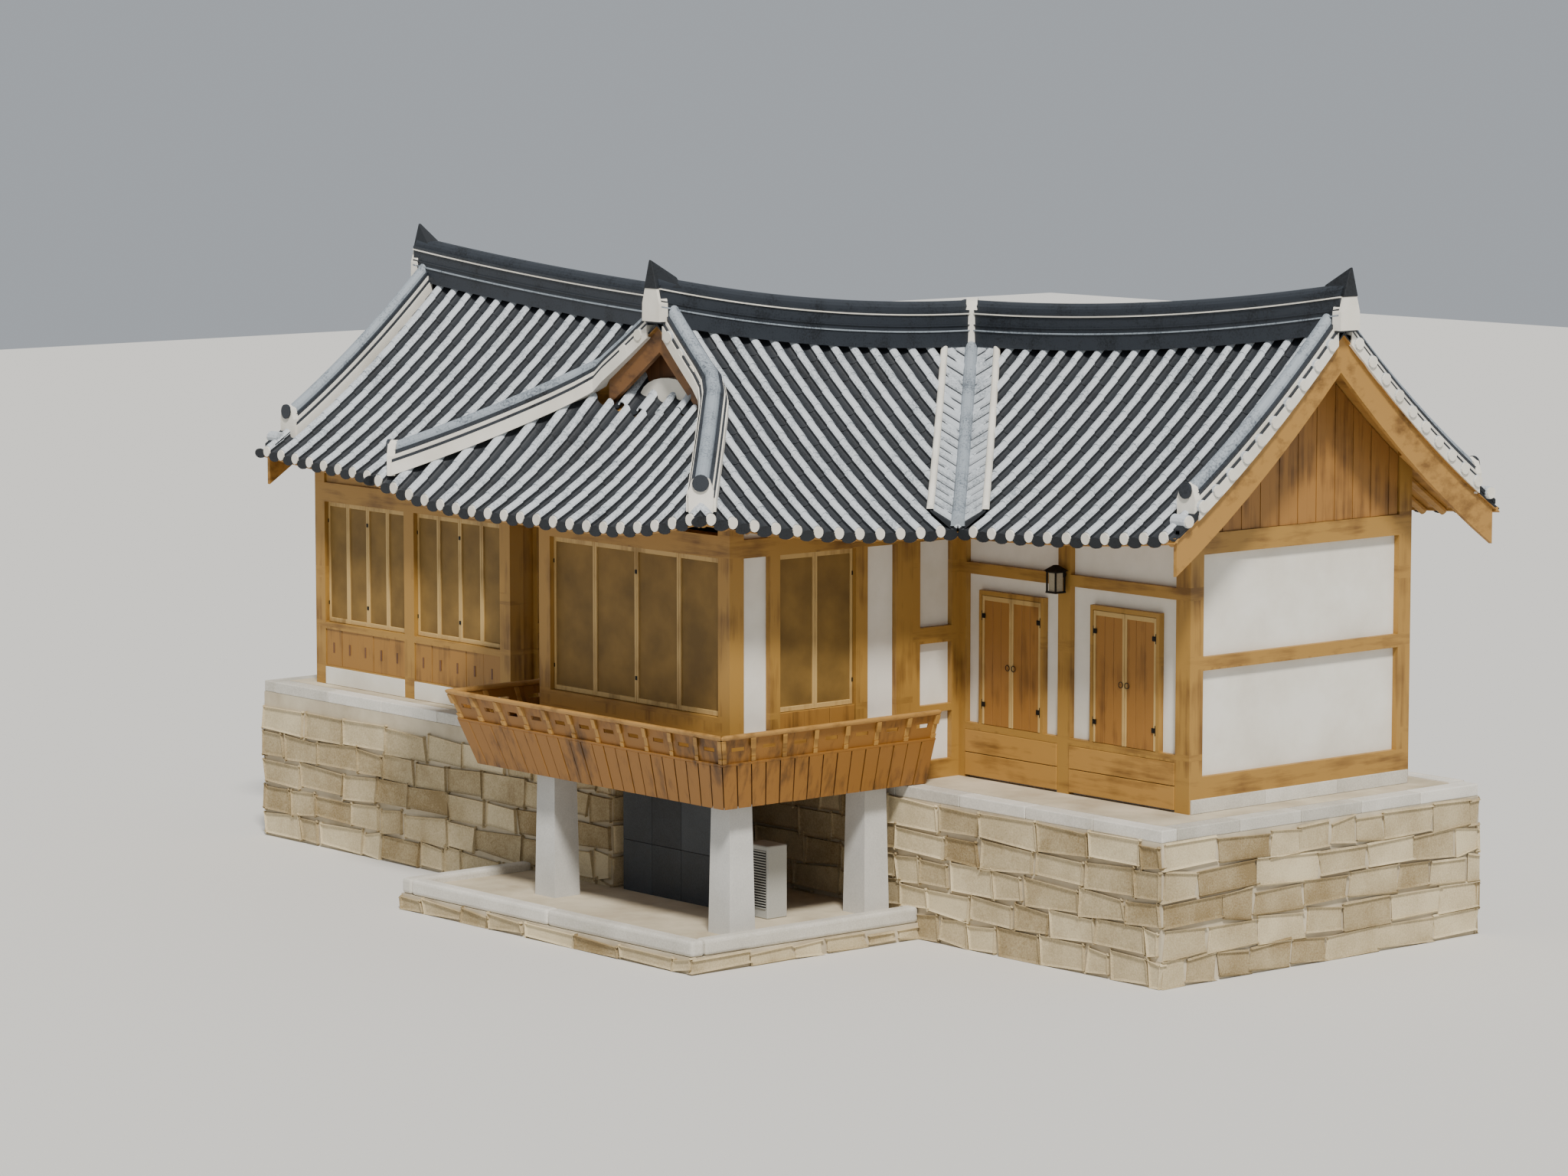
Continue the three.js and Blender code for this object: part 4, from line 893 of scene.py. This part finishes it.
def window_leaves(name, node, wall, u0, u1, z0, z1, count):
    bm = bmesh.new()
    for k in range(count):
        a, b = mix(u0, u1, k / count) + 0.002, mix(u0, u1, (k + 1) / count) - 0.002
        leaf_frame(bm, wall, a, b, z0 + 0.004, z1 - 0.004, [z0 + 0.004, z1 - 0.004 - RAIL])
        block(bm, *on_wall(wall, a + STILE, b - STILE, LEAF_OUT + 0.02, LEAF_OUT + 0.03,
                           z0 + RAIL, z1 - RAIL), 1)
        edge = a if k % 2 == 0 else b - 0.018
        for share in (0.16, 0.84):
            z = mix(z0, z1, share)
            block(bm, *on_wall(wall, edge, edge + 0.018, LEAF_OUT - 0.004, LEAF_OUT + 0.002,
                               z - 0.025, z + 0.025), 2)
    made = finished(name, bm, [leaf_pine, screen_brown, black_iron])
    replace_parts(made, node)


window_leaves("leaves_pavilion_front", "windows_pavilion_front", "pavilion_front",
              -3.48, -0.22, 2.91, 4.83, 4)
window_leaves("leaves_pavilion_right", "window_pavilion_right", "pavilion_right",
              0.79, 2.0, 2.91, 4.83, 2)
window_leaves("leaves_pavilion_left", "window_pavilion_left", "pavilion_left",
              0.22, 1.63, 2.91, 4.83, 2)
window_leaves("leaves_bay_left", "windows_bay_1", "bay_front", -10.32, -8.51, 2.99, 4.64, 4)
window_leaves("leaves_bay_right", "windows_bay_2", "bay_front", -8.29, -6.41, 2.99, 4.64, 4)
window_leaves("leaves_east_back", "window_east_back", "east_back", -1.0, 1.4, 3.15, 4.41, 4)


# The feet of the walls. Wide upright boards, each with a slot for air, are let in under
# the bays' windows over a strip of white lime. Under the doors two broad boards lie from
# post to post.
FOOT_BOARD = 0.37
SLOT_WIDE, SLOT_TALL = 0.035, 0.14
BAYS = [(-10.32, -8.51), (-8.29, -6.41)]


def foot_boards(bm, wall, u0, u1, z0, z1, slotted):
    count = round((u1 - u0) / FOOT_BOARD)
    for k in range(count):
        a, b = mix(u0, u1, k / count), mix(u0, u1, (k + 1) / count) - BOARD_GAP
        block(bm, *on_wall(wall, a, b, 0.012 + 0.004 * (k % 2), 0.03, z0, z1), 0, 0.003)
        if slotted:
            middle, height = (a + b) / 2, (z0 + z1) / 2
            # Each air slot is a dark stained block on the board's face: painted shade for the hole
            block(bm, *on_wall(wall, middle - SLOT_WIDE / 2, middle + SLOT_WIDE / 2, 0.009, 0.02,
                               height - SLOT_TALL / 2, height + SLOT_TALL / 2), 1)


bm = bmesh.new()
for u0, u1 in BAYS:
    foot_boards(bm, "bay_front", u0, u1, 2.4, 2.9, True)
foot_boards(bm, "pavilion_right", 0.79, 2.0, 2.7, 2.91, False)
for u0, u1 in ((0.12, 1.77), (1.98, 3.79)):
    for low, high in ((1.9, 2.18), (2.19, 2.465)):
        block(bm, *on_wall("door_wall", u0 + 0.003, u1 - 0.003, -0.012, 0.03, low, high), 2, 0.004)
finished("wall_foot_boards", bm, [post_pine, stained_and_shade_pine, beam_pine])
bm = bmesh.new()
for u0, u1 in BAYS:
    block(bm, *on_wall("bay_front", u0, u1, -0.006, 0.02, 2.145, 2.38), 0, 0.003)
finished("bay_foot_lime", bm, [wall_lime])


# The doors of the east room. Each leaf is three upright boards between two thin stiles
# under a top rail, hung on two iron barrels, with a ring to pull.
DOOR_LEAVES = {
    "door_1_left": (0.416, 0.932, 0.416), "door_1_right": (0.938, 1.454, 1.454),
    "door_2_left": (2.386, 2.917, 2.386), "door_2_right": (2.923, 3.454, 3.454)}
DOOR_FOOT, DOOR_HEAD, DOOR_THICK = 2.56, 4.16, 0.04
DOOR_FACE = 3.7
BARREL, BARREL_TALL, BARREL_IN = 0.0057, 0.12, 0.25
door_pine = pine("door_board_pine", "9c6c2e", "6d4719", UPRIGHT)
for node, (u0, u1, hinge) in DOOR_LEAVES.items():
    bm = bmesh.new()
    leaf_frame(bm, "door_wall", u0, u1, DOOR_FOOT, DOOR_HEAD, [DOOR_HEAD - RAIL], 0.0, DOOR_THICK)
    for k in range(3):
        a, b = [mix(u0 + STILE, u1 - STILE, (k + step) / 3) for step in (0, 1)]
        block(bm, *on_wall("door_wall", a + 0.002, b - 0.003, 0.01, 0.032,
                           DOOR_FOOT, DOOR_HEAD - RAIL), 1, 0.003)
    inward = 1 if hinge == u0 else -1
    for z in (DOOR_FOOT + BARREL_IN, DOOR_HEAD - BARREL_IN):
        rod(bm, (hinge, DOOR_FACE, z - BARREL_TALL / 2), (hinge, DOOR_FACE, z + BARREL_TALL / 2),
            BARREL, 12, 2)
        ends_at = sorted((hinge + inward * 0.008, hinge + inward * 0.06))
        block(bm, *on_wall("door_wall", ends_at[0], ends_at[1], -0.004, 0.001, z - 0.03, z + 0.03), 2)
    pull = u1 - 0.05 if hinge == u0 else u0 + 0.05
    ring = bmesh.new()
    bmesh.ops.create_circle(ring, segments=6, radius=0.005)
    bmesh.ops.translate(ring, vec=(0.035, 0, 0), verts=ring.verts)
    bmesh.ops.spin(ring, geom=ring.verts[:] + ring.edges[:], cent=(0, 0, 0), axis=(0, 1, 0),
                   angle=math.radians(360), steps=18, use_merge=True)
    bmesh.ops.recalc_face_normals(ring, faces=ring.faces)
    bmesh.ops.translate(ring, vec=(pull, 3.694, 3.3), verts=ring.verts)
    joined_into(bm, ring, 2)
    made = finished(f"leaf_{node}", bm, [leaf_pine, door_pine, black_iron], body=node)
    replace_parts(made, node)


# The lantern on the post between the doors: a black iron box with frosted panes under a
# pyramid cap, on a short arm.
LAMP_X, LAMP_Y, LAMP_FOOT, LAMP_HEAD = 1.875, 3.56, 4.33, 4.60
LAMP_HALF = 0.075
frosted, tree, spot = blank("frosted_lamp_glass")
frost = add_node(tree, "ShaderNodeTexNoise", [("Vector", spot)], Scale=90.0)
surfaced(tree, frost.outputs["Fac"], (0.0, 1.0), "8f8672", "b8ae96", 0.4)
bm = bmesh.new()
block(bm, (LAMP_X - 0.06, LAMP_Y - 0.06, LAMP_FOOT + 0.02), (LAMP_X + 0.06, LAMP_Y + 0.06, LAMP_HEAD), 1)
for side_x in (-1, 1):
    for side_y in (-1, 1):
        x, y = LAMP_X + side_x * LAMP_HALF, LAMP_Y + side_y * LAMP_HALF
        block(bm, (x - 0.009, y - 0.009, LAMP_FOOT), (x + 0.009, y + 0.009, LAMP_HEAD), 0)
for z in (LAMP_FOOT, LAMP_HEAD - 0.02):
    block(bm, (LAMP_X - 0.09, LAMP_Y - 0.09, z), (LAMP_X + 0.09, LAMP_Y + 0.09, z + 0.02), 0, 0.004)
cap = bmesh.new()
bmesh.ops.create_cone(cap, cap_ends=True, segments=4, radius1=0.155, radius2=0.03, depth=0.07)
bmesh.ops.rotate(cap, matrix=Matrix.Rotation(math.radians(45), 3, "Z"), verts=cap.verts)
bmesh.ops.translate(cap, vec=(LAMP_X, LAMP_Y, LAMP_HEAD + 0.035), verts=cap.verts)
joined_into(bm, cap, 0)
ARM_UP = LAMP_HEAD - 0.05
rod(bm, (LAMP_X, LAMP_Y, ARM_UP), (LAMP_X, DOOR_FACE, ARM_UP), 0.012, 10, 0)
rod(bm, (LAMP_X, 3.67, ARM_UP), (LAMP_X, DOOR_FACE, ARM_UP), 0.04, 16, 0)
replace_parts(finished("post_lantern", bm, [black_iron, frosted]), "lantern")


# The balcony. A leaning apron of tall boards hangs round the deck's edge. On it stand
# shaped brackets with thin slotted panels between them, and they carry the handrail.
RAIL_LEFT, RAIL_RIGHT, RAIL_FRONT = -4.9, 0.55, -0.6
RAIL_LEFT_BACK, RAIL_RIGHT_BACK = 0.99, 2.93
RAIL_TOP, RAIL_FOOT, APRON_TOP, APRON_FOOT = 2.82, 2.76, 2.43, 1.88
APRON_LEAN = 0.3
APRON_BOARD, APRON_GAP = 0.24, 0.018
BRACKET_SPACE = 0.48
SIDES = {"left": 0, "front": 1, "right": 2}


def rail_corner(index, z, d):
    """A corner of the balcony's leaning face at a height, d in from the face."""
    d += APRON_LEAN * (RAIL_TOP - z) / (RAIL_TOP - APRON_FOOT)
    return [Vector((RAIL_LEFT + d, RAIL_LEFT_BACK, z)), Vector((RAIL_LEFT + d, RAIL_FRONT + d, z)),
            Vector((RAIL_RIGHT - d, RAIL_FRONT + d, z)), Vector((RAIL_RIGHT - d, RAIL_RIGHT_BACK, z))][index]


def rail_length(side):
    return (rail_corner(SIDES[side] + 1, RAIL_TOP, 0) - rail_corner(SIDES[side], RAIL_TOP, 0)).length


def rail_block(bm, side, u0, u1, d0, d1, z0, z1, index=0, bevel=0.0):
    """A board of the balcony: u is its share of the side's length, d how far in."""
    part = bmesh.new()
    bmesh.ops.create_cube(part, size=1)
    for vert in part.verts:
        z = z1 if vert.co.z > 0 else z0
        d = d1 if vert.co.y > 0 else d0
        ends = [rail_corner(SIDES[side] + step, z, d) for step in (0, 1)]
        vert.co = ends[0].lerp(ends[1], u1 if vert.co.x > 0 else u0)
    if bevel:
        eased(part, bevel)
    bmesh.ops.recalc_face_normals(part, faces=part.faces)
    joined_into(bm, part, index)


apron_pine = pine("apron_board_pine", "946527", "573812", UPRIGHT)
rail_pine = pine("handrail_pine", "b18546", "86602b", (0.6, 0.6, 1.0))
bm = bmesh.new()
for side in SIDES:
    count = round(rail_length(side) / APRON_BOARD)
    gap = APRON_GAP / rail_length(side)
    for k in range(count):
        rail_block(bm, side, k / count + gap / 2, (k + 1) / count - gap / 2,
                   0.004 * (k % 2), 0.03, APRON_FOOT, APRON_TOP, 0, 0.003)
    # A strip of dark stained pine behind the boards shows in their gaps: painted shade in the joints
    rail_block(bm, side, 0.0, 1.0, 0.034, 0.05, APRON_FOOT + 0.02, APRON_TOP, 1)
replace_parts(finished("apron_boards", bm, [apron_pine, stained_and_shade_pine]), "balcony_apron")

LOW_RAIL_TOP = 2.46
PANEL_OUT, PANEL_IN = 0.04, 0.06
AIR_LONG, AIR_TALL = 0.2, 0.05
bm = bmesh.new()
for side in SIDES:
    length = rail_length(side)
    rail_block(bm, side, 0.0, 1.0, 0.004, 0.09, APRON_TOP, LOW_RAIL_TOP, 2, 0.004)
    rail_block(bm, side, 0.0, 1.0, 0.0, 0.08, RAIL_FOOT, RAIL_TOP, 1, 0.022)
    count = round(length / BRACKET_SPACE)
    for k in range(count + 1):
        u = min(1 - 0.04 / length, max(0.04 / length, k / count))
        half = 0.035 / length
        for z0, z1, d0 in ((LOW_RAIL_TOP, 2.52, 0.012), (2.52, 2.64, 0.028), (2.64, RAIL_FOOT, 0.004)):
            rail_block(bm, side, u - half, u + half, d0, 0.075, z0, z1, 0, 0.006)
        if k == count:
            continue
        a, b = k / count, (k + 1) / count
        middle, reach = (a + b) / 2, AIR_LONG / 2 / length
        z = (LOW_RAIL_TOP + RAIL_FOOT) / 2 + 0.02
        # The panels between the brackets take the darker apron pine: painted shade in the recesses
        for u0, u1, z0, z1 in ((a, middle - reach, LOW_RAIL_TOP, RAIL_FOOT),
                               (middle + reach, b, LOW_RAIL_TOP, RAIL_FOOT),
                               (middle - reach, middle + reach, LOW_RAIL_TOP, z - AIR_TALL / 2),
                               (middle - reach, middle + reach, z + AIR_TALL / 2, RAIL_FOOT)):
            rail_block(bm, side, u0, u1, PANEL_OUT, PANEL_IN, z0, z1, 2)
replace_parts(finished("balcony_railing", bm, [beam_pine, rail_pine, apron_pine]),
            "balcony_rail")


# The stone terraces. Roughly squared granite rubble is laid in courses with lime mortar,
# and a kerb of long dressed stones runs along the top.
STONE_SEED = 11
STONE_COURSE = 0.34
STONE_LONG, STONE_SHORT = 1.05, 0.36
MORTAR = 0.045
STONE_PROUD, STONE_IN, STONE_BEVEL = 0.02, -0.04, 0.024
ASKEW, UNEVEN = 0.04, 0.008


def stone(name, light, dark, rough, tooth):
    """Granite: speckled grains a few millimetres across under broad weather stains."""
    material, tree, spot = blank(name)
    stain = add_node(tree, "ShaderNodeTexNoise", [("Vector", spot)],
                     Scale=1.6, Detail=5.0, Roughness=0.6)
    grain = add_node(tree, "ShaderNodeTexNoise", [("Vector", spot)],
                     Scale=48.0, Detail=4.0, Roughness=0.7)
    each = add_node(tree, "ShaderNodeNewGeometry")
    parts = add_node(tree, "ShaderNodeMix", [(2, stain.outputs["Fac"]), (3, grain.outputs["Fac"])])
    shade = add_node(tree, "ShaderNodeMath",
                     [(0, each.outputs["Random Per Island"]), (2, parts.outputs[0])],
                     operation="MULTIPLY_ADD")
    shade.inputs[1].default_value = 0.35
    surfaced(tree, shade.outputs[0], (0.45, 0.88), dark, light, rough,
             grain.outputs["Fac"], tooth, 0.008)
    return material


rubble = stone("beige_rubble_granite", "d9caa6", "8c7751", 0.92, 0.7)
mortar = lime("terrace_lime_mortar", "cdc1a8", "a99b80")
kerb_granite = stone("dressed_kerb_granite", "e2ded4", "aaa597", 0.8, 0.25)
dress(mortar, "podium_east", "podium_west", "platform")
random.seed(STONE_SEED)


def rubble_stone(bm, start, along, out, length, foot, tall):
    """One stone, with its face knocked a little out of square."""
    askew = {(right, upper): (random.uniform(-ASKEW, ASKEW), random.uniform(-ASKEW, ASKEW))
             for right in (False, True) for upper in (False, True)}
    part = bmesh.new()
    bmesh.ops.create_cube(part, size=1)
    for vert in part.verts:
        over, up = askew[vert.co.x > 0, vert.co.z > 0]
        u = (vert.co.x + 0.5) * length + over
        v = (STONE_PROUD + random.uniform(-UNEVEN, UNEVEN)) if vert.co.y > 0 else STONE_IN
        z = max(0.004, foot + (vert.co.z + 0.5) * tall + up)
        vert.co = start + along * u + out * v + Vector((0, 0, z))
    eased(part, STONE_BEVEL)
    bmesh.ops.recalc_face_normals(part, faces=part.faces)
    joined_into(bm, part)


def rubble_face(bm, a, b, foot, head):
    """Courses of stones on one face of a terrace, whose outline runs anticlockwise."""
    a, b = Vector((*a, 0)), Vector((*b, 0))
    along = (b - a).normalized()
    out = Vector((along.y, -along.x, 0))
    courses = max(1, round((head - foot) / STONE_COURSE))
    tall = (head - foot) / courses
    for row in range(courses):
        at = 0.0
        while at < (b - a).length - 0.05:
            length = random.uniform(STONE_SHORT, STONE_LONG)
            if (b - a).length - at - length < STONE_SHORT / 2:
                length = (b - a).length - at
            rubble_stone(bm, a + along * (at + MORTAR / 2), along, out, length - MORTAR,
                         foot + row * tall + MORTAR / 2, tall - MORTAR)
            at += length


EAST_TERRACE = [(-3.5, 2.65), (4.65, 2.65), (4.65, 8.1), (-4.3, 8.1), (-4.3, 6.25)]
WEST_TERRACE = [(-4.3, 6.25), (-11.15, 6.25), (-11.15, 1.0), (-3.5, 1.0), (-3.5, 2.65)]
KERB_TALL, KERB_DEEP, KERB_LONG = 0.15, 0.25, 1.15
EAST_TOP, WEST_TOP = 1.87, 2.14
WEST_BAND = 0.17
for name, outline, head in (("east", EAST_TERRACE, EAST_TOP - KERB_TALL - 0.01),
                            ("west", WEST_TERRACE, WEST_TOP - KERB_TALL - WEST_BAND)):
    bm = bmesh.new()
    for a, b in zip(outline, outline[1:]):
        rubble_face(bm, a, b, 0.0, head)
    finished(f"rubble_{name}", bm, [rubble])


def kerb_run(bm, a, b, foot, head, deep, bevel, long=KERB_LONG):
    """Dressed stones end to end along an outline's edge, inside it."""
    a, b = Vector((*a, 0)), Vector((*b, 0))
    along = (b - a).normalized()
    inward = Vector((-along.y, along.x, 0))
    count = max(1, round((b - a).length / long))
    for k in range(count):
        part = bmesh.new()
        bmesh.ops.create_cube(part, size=1)
        for vert in part.verts:
            u = (k + vert.co.x + 0.5) / count * (b - a).length
            u += -0.004 if vert.co.x > 0 else 0.004
            vert.co = a + along * u + inward * ((vert.co.y + 0.5) * deep) \
                + Vector((0, 0, mix(foot, head, vert.co.z + 0.5)))
        eased(part, bevel, 3)
        bmesh.ops.recalc_face_normals(part, faces=part.faces)
        joined_into(bm, part)


def kerb_outline(node, outline, foot, head, deep, bevel, long=KERB_LONG):
    """The kerb along every edge of an outline; each edge starts behind the one before."""
    bm = bmesh.new()
    for k, (a, b) in enumerate(zip(outline, outline[1:])):
        away = (Vector(b) - Vector(a)).normalized() * (deep if k else 0.0)
        kerb_run(bm, Vector(a) + away, b, foot, head, deep, bevel, long)
    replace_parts(finished(f"stones_{node}", bm, [kerb_granite]), node)


kerb_outline("kerb_east", EAST_TERRACE, EAST_TOP - KERB_TALL, EAST_TOP, KERB_DEEP, 0.014)
kerb_outline("kerb_west", WEST_TERRACE, WEST_TOP - KERB_TALL, WEST_TOP, KERB_DEEP, 0.014)
bm = bmesh.new()
kerb_run(bm, (4.05, 3.72), (4.05, 7.48), EAST_TOP + 0.003, EAST_TOP + 0.17, 0.05, 0.004)
finished("gable_plinth", bm, [kerb_granite])


# The platform under the pavilion: one course of rubble, a broad rounded kerb of pale
# granite and a swept earth floor, with three tapered granite pillars on it.
PLATFORM = [(-5.35, 1.0), (-5.35, -0.95), (0.44, -0.95), (0.44, 2.65)]
bm = bmesh.new()
for a, b in zip(PLATFORM, PLATFORM[1:]):
    rubble_face(bm, a, b, 0.0, 0.19)
finished("rubble_platform", bm, [rubble])
kerb_outline("platform_kerb", PLATFORM, 0.2, 0.4, 0.2, 0.045, 2.4)
pillar_granite = stone("smooth_pillar_granite", "d5d4cf", "b4b3ae", 0.7, 0.15)
dress(pillar_granite, "pillar_1", "pillar_2", "pillar_3")


# The screen behind the pillars: large slabs of black slate, butted with hairline joints,
# that hide the crawl space.
SLAB_ROWS, SLAB_COLUMNS = 3, 4
SCREEN_LEFT, SCREEN_RIGHT, SCREEN_TOP = -3.3, -1.0, 2.24
PLATFORM_FLOOR = 0.3003
slate = stone("riven_black_slate", "3b4148", "1d2126", 0.55, 0.5)
bm = bmesh.new()
for row in range(SLAB_ROWS):
    low, high = [mix(PLATFORM_FLOOR, SCREEN_TOP, (row + step) / SLAB_ROWS) for step in (0, 1)]
    for column in range(SLAB_COLUMNS):
        a, b = [mix(SCREEN_LEFT, SCREEN_RIGHT, (column + step) / SLAB_COLUMNS) for step in (0, 1)]
        block(bm, (a + 0.002, 1.006, low), (b - 0.002, 1.06, high - 0.004), 0, 0.003)
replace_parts(finished("slate_screen", bm, [slate]), "screen")


# The outdoor unit: a powder coated steel casing with a slatted front over a dark fan space.
UNIT_LEFT, UNIT_RIGHT, UNIT_TOP = -0.95, -0.5, 1.2
GRILLE_LEFT, GRILLE_RIGHT = -0.92, -0.53
SLATS = 22
enamel, tree, spot = blank("powder_coated_casing")
peel = add_node(tree, "ShaderNodeTexNoise", [("Vector", spot)], Scale=70.0, Detail=2.0)
surfaced(tree, peel.outputs["Fac"], (0.0, 1.0), "a3a49f", "b9b9b3", 0.45,
         peel.outputs["Fac"], 0.1, 0.001)
bm = bmesh.new()
block(bm, (UNIT_LEFT, 1.012, PLATFORM_FLOOR), (UNIT_RIGHT, 1.33, UNIT_TOP), 0, 0.012)
# A black iron sheet behind the slats stands for the dark fan space: painted shade
block(bm, (GRILLE_LEFT, 1.008, 0.42), (GRILLE_RIGHT, 1.013, 1.14), 1)
for k in range(SLATS):
    z = mix(0.43, 1.13, k / (SLATS - 1))
    block(bm, (GRILLE_LEFT, 1.0, z - 0.006), (GRILLE_RIGHT, 1.009, z + 0.006), 0)
for x in (-0.86, -0.66):
    block(bm, (x, 1.03, PLATFORM_FLOOR), (x + 0.07, 1.3, 0.33), 1)
made = finished("casing_outdoor_unit", bm, [enamel, black_iron])
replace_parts(made, "outdoor_unit")


low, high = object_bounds()
